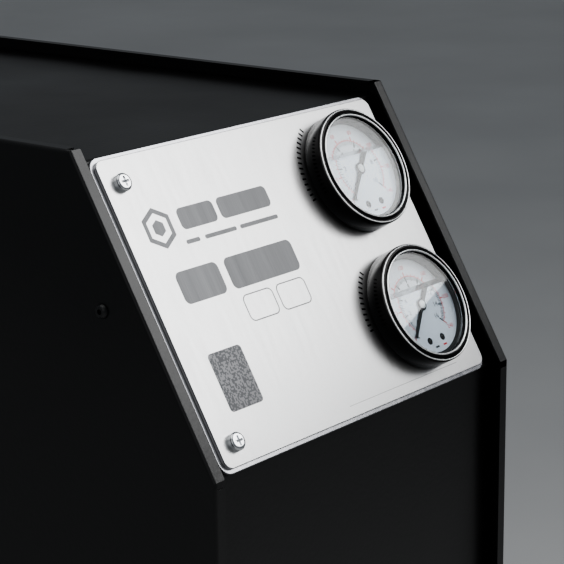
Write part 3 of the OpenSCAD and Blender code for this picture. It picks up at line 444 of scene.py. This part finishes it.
PRINT_BLACK = moulded("print_black", (0.008, 0.008, 0.01), 0.5, gloss=0.1)
PRINT_RED = moulded("print_red", (0.62, 0.03, 0.03), 0.5, gloss=0.1)
PIN_WHITE = moulded("stop_pin", (0.85, 0.85, 0.84), 0.35)
SCREW_GLINT = polished("black_dial_screw", (0.03, 0.03, 0.03), 0.2)
PANEL_GREY = random_squares("printed_panel", 0.85 * MM, (0.13, 0.132, 0.138), (0.21, 0.212, 0.218))


def wear(piece, look, body="cabinet", stands_for=()):
    """Gives a new piece its material and its body, and hides the CAD nodes that it replaces."""
    piece.data.materials.append(look)
    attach(piece, body)
    if stands_for:
        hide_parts(*stands_for)


# ---- CAD nodes that keep their shape: their materials, and a small round on their edges ----

# Radius of the round in millimetres
ROUNDS = {
    "rear_panel": 0.25,
    "base_pan": 0.4,
    "bulkhead_ports": 0.4,
    "power_inlet": 0.3,
    "rocker_switch": 0.4,
    "rubber_feet": 0.6,
    "cabinet_screws": 0.12,
    "fascia_screws": 0.16,
}


def dress_cad_nodes():
    """Gives each CAD node the material of its slot, and rounds the edges of those that show."""
    slots = {row["node"]: row["material_slot"] for row in frame["record"]["subparts"]}
    for name, node in frame["nodes"].items():
        node.data.materials.clear()
        node.data.materials.append(LOOKS[slots[name]])
        if name in ROUNDS:
            weld = node.modifiers.new("weld", "WELD")
            weld.merge_threshold = 0.005 * MM
            round_edges(node, ROUNDS[name], 32)
            flat = node.modifiers.new("flat_faces", "WEIGHTED_NORMAL")
            flat.weight = 100
            flat.keep_sharp = False


dress_cad_nodes()


# ---- Side panels: a flat sheet whose edges bend inwards, cut free of each other at the corners ----

def panel_outline(inset):
    """The side outline's corners from the bottom front round to the bottom rear, set in from its edges."""
    level = face_level + RIM_HEIGHT - inset
    y_front = side_low.y + inset
    y_rear = side_high.y - inset
    z_top = side_high.z - inset
    return [
        Vector((y_front, side_low.z)),
        Vector((y_front, slope_z_at(y_front, level))),
        Vector((slope_y_at(z_top, level), z_top)),
        Vector((y_rear, z_top)),
        Vector((y_rear, side_low.z)),
    ]


# How far in millimetres each flange stops short of its corners: front, slope, top, rear
CUTS = ((0, 3.4), (0.3, 0.3), (3.4, 1.5), (1.5, 0))
FLANGE_CORNER = 0.8 * MM
FOLD_STEPS = 6


def edge_points(inset, extra=0.0):
    """Four points along each edge: its corner, the two ends of its flange, and its other corner."""
    corners = panel_outline(inset)
    edges = []
    for i, (first, last) in enumerate(CUTS):
        u = (corners[i + 1] - corners[i]).normalized()
        start = corners[i] + u * (first * MM + (extra if first else 0))
        end = corners[i + 1] - u * (last * MM + (extra if last else 0))
        edges.append((corners[i], start, end, corners[i + 1]))
    return edges


def sew(bm, first, second):
    """Joins two rings of edges along their whole length."""
    for a, b in zip(first, second):
        for i in range(3):
            bm.faces.new((a[i], a[i + 1], b[i + 1], b[i]))


def flange_surface(vertex, number, inset):
    """Pairs of end points of one flange's surface, from the fold inwards to its rounded free corners."""
    straight = FLANGE - FLANGE_CORNER
    reaches = [BEND, straight]
    reaches += [straight + FLANGE_CORNER * math.sin(math.radians(turn)) for turn in (30, 55, 75, 90)]
    rows = []
    for reach in reaches:
        over = max(0.0, reach - straight)
        cut = FLANGE_CORNER - math.sqrt(max(0.0, FLANGE_CORNER * FLANGE_CORNER - over * over))
        edge = edge_points(inset, cut)[number]
        rows.append((vertex(reach, edge[1]), vertex(reach, edge[2])))
    return rows


def flange(bm, vertex, number):
    """The part of one edge that lies beyond the fold."""
    upper, lower = [flange_surface(vertex, number, inset) for inset in (0.0, SHEET)]
    for rows in (upper, lower):
        for (a, b), (c, d) in zip(rows, rows[1:]):
            bm.faces.new((a, b, d, c))
    for k in range(len(upper) - 1):
        for end in (0, 1):
            bm.faces.new((upper[k][end], upper[k + 1][end], lower[k + 1][end], lower[k][end]))
    for k in (-1, 0):
        bm.faces.new((upper[k][0], upper[k][1], lower[k][1], lower[k][0]))


def side_panel(name, node, side):
    """side is -1 for the left panel and 1 for the right one."""
    bm = bmesh.new()
    face_x = -side * side_low.x

    def vertex(inward, point):
        return bm.verts.new((face_x - side * inward, point.x, point.y))

    def fold(radius):
        """Rings of points round the outline, from the panel's face through the fold."""
        rings = []
        for inward, inset in arc((BEND, BEND), radius, 180, 270, FOLD_STEPS):
            rings.append([[vertex(inward, p) for p in edge] for edge in edge_points(inset)])
        return rings

    outer = fold(BEND)
    inner = fold(BEND - SHEET)
    for rings in (outer, inner):
        for a, b in zip(rings, rings[1:]):
            sew(bm, a, b)
    for rings in (outer, inner):
        bm.faces.new([v for edge in rings[0] for v in edge])
    for number in range(len(CUTS)):
        flange(bm, vertex, number)
    # The sheet's cut edges: between the flanges, at both ends of the fold, and along the bottom
    sew(bm, outer[-1], inner[-1])
    for end in (0, 3):
        outside = [ring[end][end] for ring in outer]
        inside = [ring[end][end] for ring in inner]
        for k in range(FOLD_STEPS):
            bm.faces.new((outside[k], outside[k + 1], inside[k + 1], inside[k]))
    bm.faces.new((outer[0][0][0], outer[0][3][3], inner[0][3][3], inner[0][0][0]))
    bmesh.ops.remove_doubles(bm, verts=bm.verts, dist=0.002 * MM)
    piece = finish_mesh(name, bm, smooth=35)
    round_edges(piece, 0.18, 50)
    wear(piece, LOOKS["cabinet_black"], stands_for=[node])


side_panel("left_side_cover", "left_side_panel", -1)
side_panel("right_side_cover", "right_side_panel", 1)


# ---- Wrap panel: front, console seat and top in one bent sheet ----

def rounded_path(points, radius, steps=6):
    """A path in (Y, Z) with its inner corners rounded."""
    path = [points[0]]
    for before, here, after in zip(points, points[1:], points[2:]):
        u = (here - before).normalized()
        v = (after - here).normalized()
        half = math.acos(max(-1, min(1, u.dot(v)))) / 2
        trim = radius * math.tan(half)
        start = here - u * trim
        side = Vector((-u.y, u.x))
        if side.dot(v) < 0:
            side = -side
        centre = start + side * radius
        spoke = start - centre
        sign = 1 if u.x * v.y - u.y * v.x > 0 else -1
        for i in range(steps + 1):
            turned = spoke.copy()
            turned.rotate(Matrix.Rotation(sign * 2 * half * i / steps, 2))
            path.append(centre + turned)
    path.append(points[-1])
    return path


def wrap_points(inset, z_low, y_end):
    """The cover's path with sharp corners: up the front, up the slope and back along the top."""
    corners = panel_outline(inset)
    return [Vector((corners[1].x, z_low)), corners[1], corners[2], Vector((y_end, corners[2].y))]


def wrap_cover():
    """The bent sheet, as far below the side panels' edges on the front and slope as on the top."""
    low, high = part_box("wrap_panel")
    recess = side_high.z - high.z
    outer = rounded_path(wrap_points(recess, low.z, high.y), WRAP_BEND)
    inner = rounded_path(wrap_points(recess + SHEET, low.z, high.y), WRAP_BEND - SHEET)
    bm = bmesh.new()
    columns = []
    for x in (low.x, high.x):
        columns.append([[bm.verts.new((x, p.x, p.y)) for p in line] for line in (outer, inner)])
    for line in (0, 1):
        left, right = columns[0][line], columns[1][line]
        for i in range(len(left) - 1):
            bm.faces.new((left[i], left[i + 1], right[i + 1], right[i]))
    for column in columns:
        for i in range(len(outer) - 1):
            bm.faces.new((column[0][i], column[0][i + 1], column[1][i + 1], column[1][i]))
    for i in (0, -1):
        bm.faces.new((columns[0][0][i], columns[1][0][i], columns[1][1][i], columns[0][1][i]))
    piece = finish_mesh("front_and_top_cover", bm, smooth=35)
    wear(piece, LOOKS["cabinet_black"], stands_for=["wrap_panel"])


wrap_cover()


# ---- Console plates: rounded rectangles with holes for the gauges and screws ----

# Distances down the slope from the fascia's top edge, and radii of the holes, in millimetres
SCREW_DISTANCES = (13.7, 150.7)
GAUGE_DISTANCES = (39.5, 120.5)
GAUGE_HOLE_R = 31.8
SCREW_HOLE_R = 2.8
FASCIA_T = 2.0
BACKING_T = 2.15
# The backing plate's face lies this far below the fascia's face, just clear of the fascia's back
BACKING_DEPTH = 2.02
PLATE_EDGE = 0.3

gauge_x = FILTER_GAUGE.translation.x / MM
screws_low, screws_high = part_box("fascia_screws")
screws_x = (screws_low.x + screws_high.x) / 2 / MM


def slope_length(low, high, thickness):
    """A plate's length up the slope, from its box and its thickness."""
    return (high.z - low.z - thickness * MM * OUT.z) / UP_SLOPE.z / MM


fascia_length = slope_length(plate_low, plate_high, FASCIA_T)


def plate_outlines(width, length, radius):
    """The outline and its holes in millimetres, in the plate's frame."""
    shapes = [shifted(rounded_box(width, length, radius, 10), 0, -fascia_length / 2)]
    for distance in GAUGE_DISTANCES:
        shapes.append(shifted(circle(GAUGE_HOLE_R, 96), gauge_x, -distance))
    for distance in SCREW_DISTANCES:
        shapes.append(shifted(circle(SCREW_HOLE_R, 24), screws_x, -distance))
    return shapes


def console_plate(node, look_name, radius, depth, thickness):
    """One plate with lightly rounded edges; depth is its face's distance below the fascia's face."""
    low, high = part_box(node)
    curve = bpy.data.curves.new(node, "CURVE")
    curve.dimensions = "2D"
    curve.fill_mode = "BOTH"
    curve.extrude = (thickness / 2 - PLATE_EDGE) * MM
    curve.bevel_depth = PLATE_EDGE * MM
    curve.bevel_resolution = 2
    for shape in plate_outlines((high.x - low.x) / MM, slope_length(low, high, thickness), radius):
        spline = curve.splines.new("POLY")
        spline.points.add(len(shape) - 1)
        for point, (x, y) in zip(spline.points, inset_outline(shape, PLATE_EDGE)):
            point.co = (x * MM, y * MM, 0, 1)
        spline.use_cyclic_u = True
    bm = bmesh.new()
    add_meshes(bm, [mesh_of(curve)])
    bmesh.ops.remove_doubles(bm, verts=bm.verts, dist=0.001 * MM)
    bm.transform(Matrix.Translation((0, 0, -(depth + thickness / 2) * MM)))
    piece = finish_mesh(node + "_sheet", bm, PLATE, 50)
    flat = piece.modifiers.new("flat_faces", "WEIGHTED_NORMAL")
    flat.keep_sharp = True
    wear(piece, LOOKS[look_name], stands_for=[node])


console_plate("fascia_plate", "fascia_steel", 5.0, 0, FASCIA_T)
console_plate("backing_plate", "backing_steel", 7.2, BACKING_DEPTH, BACKING_T)


# ---- Marks on the fascia: plain shapes only ----

# The marks hang just clear of the plate's face
MARK_LOW = 0.002
MARK_TOP = 0.03

# Middle across the plate and down from its top edge, in millimetres
EMBLEM_PLACE = (-86, -40)
EMBLEM_R = 11
PANEL_PLACE = (-79.0, -121.8)
LINE_PLACE = (38, -156)

# Rows of bars: name, middle down the plate, height, corner radius, and each bar's middle across and width
BAR_ROWS = (
    ("plain_bars_upper", -38.5, 11.5, 3, ((-57, 27), (-21, 39))),
    ("plain_bars_thin", -50.5, 2.2, 1, ((-67, 10), (-46, 24), (-16, 30))),
    ("plain_bars_large", -72, 17, 3.5, ((-74, 31), (-27, 53))),
)

# The two hollow boxes
BOX_XS = (-40, -14)
BOX_Y = -91.5
BOX_SIZE = (23, 14.5, 3.5)
BOX_LINE = 0.6


def plate_mark(name, outlines, look):
    """Thin flat marks; each outline is in millimetres from the middle of the plate's top edge."""
    bm = bmesh.new()
    for outline in outlines:
        prism(bm, outline, MARK_LOW, MARK_TOP)
    wear(finish_mesh(name, bm, PLATE), look)


def frame_outline(bm, outer, inner):
    """A thin band between two outlines with the same number of points."""
    rings = []
    for shape, height in ((outer, MARK_TOP), (inner, MARK_TOP), (inner, MARK_LOW), (outer, MARK_LOW)):
        rings.append([bm.verts.new((x * MM, y * MM, height * MM)) for x, y in shape])
    for k in range(4):
        a, b = rings[k], rings[(k + 1) % 4]
        for i in range(len(a)):
            j = (i + 1) % len(a)
            bm.faces.new((a[i], a[j], b[j], b[i]))


def plain_emblem():
    """A hexagon in a hexagonal frame."""
    bm = bmesh.new()
    outer = arc((0, 0), EMBLEM_R, 30, 330, 5)
    middle, core = scaled(outer, 0.74), scaled(outer, 0.4)
    frame_outline(bm, shifted(outer, *EMBLEM_PLACE), shifted(middle, *EMBLEM_PLACE))
    prism(bm, shifted(core, *EMBLEM_PLACE), MARK_LOW, MARK_TOP)
    wear(finish_mesh("plain_emblem", bm, PLATE), ETCH)


def plain_boxes():
    """Two rounded boxes drawn in a thin line."""
    bm = bmesh.new()
    width, height, radius = BOX_SIZE
    outer = rounded_box(width, height, radius)
    inner = rounded_box(width - 2 * BOX_LINE, height - 2 * BOX_LINE, radius - BOX_LINE)
    for x in BOX_XS:
        frame_outline(bm, shifted(outer, x, BOX_Y), shifted(inner, x, BOX_Y))
    wear(finish_mesh("plain_boxes", bm, PLATE), ETCH)


def plain_bars():
    """Rows of rounded bars."""
    for name, y, height, radius, bars in BAR_ROWS:
        plate_mark(name, [shifted(rounded_box(width, height, radius), x, y) for x, width in bars], ETCH)


plain_emblem()
plain_bars()
plain_boxes()
plate_mark("plain_panel", [shifted(rounded_box(24.5, 30.5, 2.2), *PANEL_PLACE)], PANEL_GREY)
plate_mark("fine_line", [shifted(rounded_box(96, 0.18, 0.08, 2), *LINE_PLACE)], ETCH)


# ---- Gauges: all sizes in millimetres, heights from the fascia's face ----

BEZEL_R = 33.9
BEZEL_BORE_R = 31.1
SKIRT_TOP = 10.6
WINDOW_R = 29.15
WINDOW_TOP = 11.36
# Beads painted bright on the darkened ring, a painted highlight: name, ring radius, height, and radius of the bead
LIPS = (("outer_lip", 33.0, 11.85, 0.44), ("inner_lip", 29.85, 12.3, 0.55))

DIAL_R = 29.0
DIAL_BOTTOM = 3.0
DIAL_TOP = 3.6
SCALE_START = 225
SCALE_SWEEP = 270
TICK_T = 0.025
# Flat print beside the ticks is a little thinner, so that no faces coincide
PRINT_T = 0.02

# Ticks: inner radius, outer radius and width
BLACK_MAJOR = (14.2, 17.4, 0.85)
BLACK_HALF = (14.9, 17.3, 0.5)
BLACK_MINOR = (15.4, 17.3, 0.36)
RED_MAJOR = (17.7, 20.2, 0.6)
RED_MINOR = (17.7, 19.0, 0.34)
RED_LINE = (17.5, 17.9)

POINTER_LOW = 4.6
LIQUID_LOW = DIAL_TOP + 0.06
LIQUID_HIGH = 9.24
LIQUID_R = 28.6
# The glycerine's level, up the slope from the gauge's middle, where it meets the window
LIQUID_LEVEL = 7.8

# The ticks on the fascia: inner radius, outer radius, width, and degrees from one to the next
ARC_TICK = (36.6, 39.6, 1.0)
ARC_PITCH = 4.6


def bezel(prefix, matrix):
    """Crimped chrome ring darkened to near black, a painted dark reflection: a straight skirt, a rounded lip, a
    groove and a step down onto the window.
    """
    lip_r = 2.3
    profile = [(BEZEL_BORE_R, 0.0), (BEZEL_R - 0.5, 0.0), (BEZEL_R, 0.5), (BEZEL_R, SKIRT_TOP)]
    profile += arc((BEZEL_R - lip_r, SKIRT_TOP), lip_r, 0, 20, 4)
    profile += [(33.2, 11.6), (32.4, 11.7), (31.6, 11.6), (30.9, 12.0), (30.4, 12.45)]
    profile += [(29.4, 12.2), (WINDOW_R, 11.6), (WINDOW_R, WINDOW_TOP), (BEZEL_BORE_R, WINDOW_TOP)]
    bm = bmesh.new()
    lathe(bm, profile, 144)
    bm.transform(matrix)
    piece = finish_mesh(prefix + "_bezel_ring", bm, smooth=50)
    wear(piece, LOOKS["bezel_chrome"], stands_for=[prefix + "_gauge_bezel"])
    for name, radius, height, bead_r in LIPS:
        bm = bmesh.new()
        lathe(bm, circle(bead_r, 16, (radius, height)), 144)
        bm.transform(matrix)
        wear(finish_mesh(prefix + "_" + name, bm, smooth=80), PAINTED_HIGHLIGHT_CHROME)


def dial_angle(share):
    """Angle of a share of the scale, clockwise from its lower left end."""
    return math.radians(SCALE_START - SCALE_SWEEP * share)


def radial_bar(angle, r_in, r_out, width):
    """Outline of a bar that points away from the middle."""
    along = Vector(polar(1, angle))
    across = Vector((-along.y, along.x)) * width / 2
    corners = (along * r_in - across, along * r_out - across, along * r_out + across, along * r_in + across)
    return [tuple(corner) for corner in corners]


def tick(bm, share, size):
    """One tick of a scale."""
    prism(bm, radial_bar(dial_angle(share), *size), DIAL_TOP, DIAL_TOP + TICK_T)


def numeral(text, size, share, radius):
    """A flat numeral as a mesh, upright on the dial."""
    curve = bpy.data.curves.new("numeral", "FONT")
    curve.body = text
    curve.size = size * MM
    curve.align_x = "CENTER"
    curve.align_y = "CENTER"
    curve.extrude = 0.01 * MM
    mesh = mesh_of(curve)
    place = Vector((*polar(radius, dial_angle(share)), DIAL_TOP + 0.012))
    mesh.transform(Matrix.Translation(place * MM))
    return mesh


def numerals(bm, majors, step, size, radius):
    """The numbers at the major ticks, from 0 up in equal steps."""
    add_meshes(bm, [numeral(str(i * step), size, i / majors, radius) for i in range(majors + 1)])


def dial_face(prefix, matrix):
    """The white disc that carries the scales."""
    face = bmesh.new()
    profile = [(0, DIAL_BOTTOM), (DIAL_R - 0.4, DIAL_BOTTOM), (DIAL_R, DIAL_BOTTOM + 0.1)]
    profile += [(DIAL_R, DIAL_TOP - 0.1), (DIAL_R - 0.2, DIAL_TOP), (0, DIAL_TOP)]
    lathe(face, profile, 96, closed=False)
    piece = finish_mesh(prefix + "_dial_face", face, matrix)
    wear(piece, LOOKS["dial_white"], stands_for=[prefix + "_gauge_dial"])


def black_scale(prefix, matrix, majors, step):
    """The inner scale, with ten divisions between its numbers."""
    bm = bmesh.new()
    minors = 10
    for i in range(majors * minors + 1):
        if i % minors == 0:
            size = BLACK_MAJOR
        elif i % (minors // 2) == 0:
            size = BLACK_HALF
        else:
            size = BLACK_MINOR
        tick(bm, i / (majors * minors), size)
    numerals(bm, majors, step, size=3.9, radius=11.9)
    wear(finish_mesh(prefix + "_scale_inner", bm, matrix), PRINT_BLACK)


def red_scale(prefix, matrix, majors, step):
    """The outer scale, with five divisions between its numbers and a line along its inner side."""
    bm = bmesh.new()
    minors = 5
    for i in range(majors * minors + 1):
        tick(bm, i / (majors * minors), RED_MAJOR if i % minors == 0 else RED_MINOR)
    start, end = SCALE_START, SCALE_START - SCALE_SWEEP
    line = arc((0, 0), RED_LINE[0], start, end, 90) + arc((0, 0), RED_LINE[1], end, start, 90)
    prism(bm, line, DIAL_TOP, DIAL_TOP + PRINT_T)
    numerals(bm, majors, step, size=3.2, radius=22.7)
    wear(finish_mesh(prefix + "_scale_outer", bm, matrix), PRINT_RED)


def small_marks(prefix, matrix):
    """Two plain dashes under the dial's screws, one for each scale's unit."""
    for name, look, x in (("unit_mark_black", PRINT_BLACK, -1.5), ("unit_mark_red", PRINT_RED, 5.5)):
        bm = bmesh.new()
        prism(bm, shifted(rounded_box(3.2, 1.0, 0.3), x, -24.2), DIAL_TOP, DIAL_TOP + PRINT_T)
        wear(finish_mesh(prefix + "_" + name, bm, matrix), look)


def dial_screws(prefix, matrix):
    """Two domed screws below the middle of the dial."""
    half_gap, drop = 5.75, 20
    base_r, dome_r, dome_sink, dome_top = 2.0, 2.35, 1.2, 1.15
    bm = bmesh.new()
    for x in (-half_gap, half_gap):
        one = bmesh.new()
        dome = arc((0, DIAL_TOP - dome_sink), dome_r, 30, 88, 6)
        lathe(one, [(0, DIAL_TOP), (base_r, DIAL_TOP)] + dome + [(0, DIAL_TOP + dome_top)], 32, closed=False)
        one.transform(Matrix.Translation((x * MM, -drop * MM, 0)))
        add_meshes(bm, [into_mesh("screw", one)])
    wear(finish_mesh(prefix + "_dial_screws", bm, matrix), SCREW_GLINT)


def stop_pin(prefix, matrix):
    """The pin that the pointer rests against, just before the scale's start."""
    radius, top = 0.55, DIAL_TOP + 1.15
    profile = [(0, DIAL_TOP), (radius, DIAL_TOP), (radius, top - 0.25), (radius - 0.2, top - 0.05), (0, top)]
    bm = bmesh.new()
    lathe(bm, profile, 20, closed=False)
    x, y = polar(20.6, math.radians(231))
    bm.transform(Matrix.Translation((x * MM, y * MM, 0)))
    wear(finish_mesh(prefix + "_stop_pin", bm, matrix), PIN_WHITE)


def pointer_blade(prefix, matrix, body):
    """A flat blade with a broad tail and a spade tip, at the scale's start."""
    # One side, from the tail's end to the tip: distance along the blade and half its width
    half = [(-13.9, 1.75), (-13.5, 2.0), (-4.2, 1.45), (-3.0, 1.6), (3.0, 1.6), (4.4, 1.3), (19.5, 0.8)]
    half += [(20.3, 0.95), (21.6, 1.05), (22.3, 0.7)]
    outline = [(x, -y) for x, y in half] + half[::-1]
    bm = bmesh.new()
    prism(bm, outline, POINTER_LOW, POINTER_LOW + 0.55, 0.1)
    turn = Matrix.Rotation(math.radians(SCALE_START), 4, "Z")
    piece = finish_mesh(prefix + "_pointer_blade", bm, matrix @ turn)
    wear(piece, LOOKS["pointer_black"], body, [prefix + "_gauge_pointer"])


def pointer(prefix, matrix):
    """The blade, its hub and its pale cap, on the pointer's own body."""
    body = prefix + "_pointer"
    pointer_blade(prefix, matrix, body)
    # Radii, and heights above the blade's underside
    hub = [(0, -0.7), (1.0, -0.7), (1.0, 0), (3.3, 0), (3.4, 0.3), (3.1, 0.85), (0, 0.85)]
    cap = [(0, 0.8), (2.3, 0.8), (2.35, 1.1), (2.0, 1.4), (0.45, 1.5), (0.4, 1.38), (0, 1.36)]
    for name, profile, segments, look in (
        ("_pointer_hub", hub, 40, LOOKS["pointer_black"]),
        ("_pointer_cap", cap, 32, PIN_WHITE),
    ):
        bm = bmesh.new()
        lathe(bm, shifted(profile, 0, POINTER_LOW), segments, closed=False)
        wear(finish_mesh(prefix + name, bm, matrix), look, body)


def liner_with_painted_shade(prefix, matrix):
    """Black ring between the dial and the window: partly the case's real dark inner wall, partly painted shade
    standing in for the bezel's shadow on the dial's edge.
    """
    profile = [(27.3, 3.66), (30.1, 3.66), (30.1, 9.25), (28.9, 9.25), (28.7, 9.0)]
    bm = bmesh.new()
    lathe(bm, profile, 96)
    wear(finish_mesh(prefix + "_liner", bm, matrix, 50), LOOKS["pointer_black"])


def liquid(prefix, matrix):
    """Glycerine behind the window, with its level surface."""
    sine, cosine = UP_SLOPE.z, OUT.z
    level = LIQUID_LEVEL * sine + LIQUID_HIGH * cosine
    steps = 72
    bm = bmesh.new()
    rings = []
    for height in (LIQUID_LOW, LIQUID_HIGH):
        start = math.degrees(math.asin((level - height * cosine) / sine / LIQUID_R))
        outline = arc((0, 0), LIQUID_R, 180 - start, 360 + start, steps)
        rings.append([bm.verts.new((x * MM, y * MM, height * MM)) for x, y in outline])
    bm.faces.new(rings[0][::-1])
    bm.faces.new(rings[1])
    for i in range(steps + 1):
        j = (i + 1) % (steps + 1)
        bm.faces.new((rings[0][i], rings[0][j], rings[1][j], rings[1][i]))
    wear(finish_mesh(prefix + "_filling", bm, matrix), LIQUID)


def arc_marks(prefix, matrix, first, count):
    """An arc of plain ticks on the fascia, beside the gauge."""
    bm = bmesh.new()
    for i in range(count):
        prism(bm, radial_bar(math.radians(first + ARC_PITCH * i), *ARC_TICK), MARK_LOW, MARK_TOP)
    wear(finish_mesh(prefix + "_arc_marks", bm, matrix), PRINT_BLACK)


def gauge(prefix, matrix, black, red, marks):
    """One gauge: each scale as its count of steps and its step, and the marks as first angle and count."""
    bezel(prefix, matrix)
    dial_face(prefix, matrix)
    black_scale(prefix, matrix, *black)
    red_scale(prefix, matrix, *red)
    small_marks(prefix, matrix)
    dial_screws(prefix, matrix)
    stop_pin(prefix, matrix)
    pointer(prefix, matrix)
    liner_with_painted_shade(prefix, matrix)
    liquid(prefix, matrix)
    arc_marks(prefix, matrix, *marks)


gauge("filter", FILTER_GAUGE, black=(5, 2), red=(7, 20), marks=(128, 15))
gauge("pump", PUMP_GAUGE, black=(8, 2), red=(6, 40), marks=(134, 12))


# ---- Camera, floor and lights ----

# The camera's place from the middle of the fascia's top edge, and its aim in degrees
CAMERA_OFFSET = Vector((-811.7, -689.7, 200.8)) * MM
CAMERA_AZIMUTH = 39.22
CAMERA_DIP = 14.95
CAMERA_ROLL = -0.66
LENS = 132.3


def add_camera():
    """The viewpoint stands to the left of the unit, in front of it and a little above."""
    camera = bpy.data.cameras.new("camera")
    camera.lens = LENS
    camera.sensor_width = 36
    holder = bpy.data.objects.new("camera", camera)
    holder.location = top_edge + CAMERA_OFFSET
    azimuth, dip, roll = [math.radians(a) for a in (CAMERA_AZIMUTH, CAMERA_DIP, CAMERA_ROLL)]
    forward = Vector((math.cos(azimuth) * math.cos(dip), math.sin(azimuth) * math.cos(dip), -math.sin(dip)))
    level = forward.to_track_quat("-Z", "Y")
    holder.rotation_mode = "QUATERNION"
    holder.rotation_quaternion = level @ Quaternion((0, 0, 1), roll)
    bpy.context.scene.collection.objects.link(holder)
    bpy.context.scene.camera = holder


def add_floor():
    """A plain pale floor with faint cloudiness."""
    n = Nodes("floor")
    cloud = n.noise(n.place(), scale=2.2, detail=3.0, rough=0.5)
    n.mix(n.spread(cloud, 0, 1), (0.6, 0.6, 0.6), (0.66, 0.66, 0.655))
    n.set(Roughness=0.75)
    bm = bmesh.new()
    bmesh.ops.create_grid(bm, x_segments=8, y_segments=8, size=8)
    floor = finish_mesh("floor", bm)
    floor.data.materials.append(n.material)


def add_softbox(name, target, direction, distance, size, power):
    """A square soft light that faces its target, with its distance and size in metres."""
    light = bpy.data.lights.new(name, "AREA")
    light.size = size
    light.energy = power
    holder = bpy.data.objects.new(name, light)
    holder.location = target + Vector(direction).normalized() * distance
    holder.rotation_mode = "QUATERNION"
    holder.rotation_quaternion = (target - holder.location).to_track_quat("-Z", "Y")
    bpy.context.scene.collection.objects.link(holder)


def add_world(strength):
    """An even, slightly cool light from all round."""
    world = bpy.data.worlds.new("studio")
    world.use_nodes = True
    background = world.node_tree.nodes["Background"]
    background.inputs["Color"].default_value = (0.9, 0.95, 1.0, 1)
    background.inputs["Strength"].default_value = strength
    bpy.context.scene.world = world


console = PLATE @ Vector((0, -fascia_length / 2 * MM, 0))
add_camera()
add_floor()
add_world(0.2)
# The console mirrors the camera's view this way. The key hangs to the right of it and above it, so that the
# console darkens a little towards its lower right corner.
mirrored = Vector((0.756, -0.513, 0.406))
key_right = mirrored.cross(Vector((0, 0, 1))).normalized()
key_up = key_right.cross(mirrored)
key_target = console + key_right * 0.35 + key_up * 0.38
add_softbox("key", key_target, mirrored, distance=1.2, size=1.0, power=7.5)
add_softbox("top", console, (-0.2, 0.1, 1.0), distance=1.8, size=1.6, power=6)
add_softbox("fill", console, (-1.0, -0.5, 0.6), distance=2.0, size=1.4, power=1.5)

bpy.context.scene.view_settings.view_transform = "AgX"
bpy.context.scene.view_settings.look = "AgX - High Contrast"
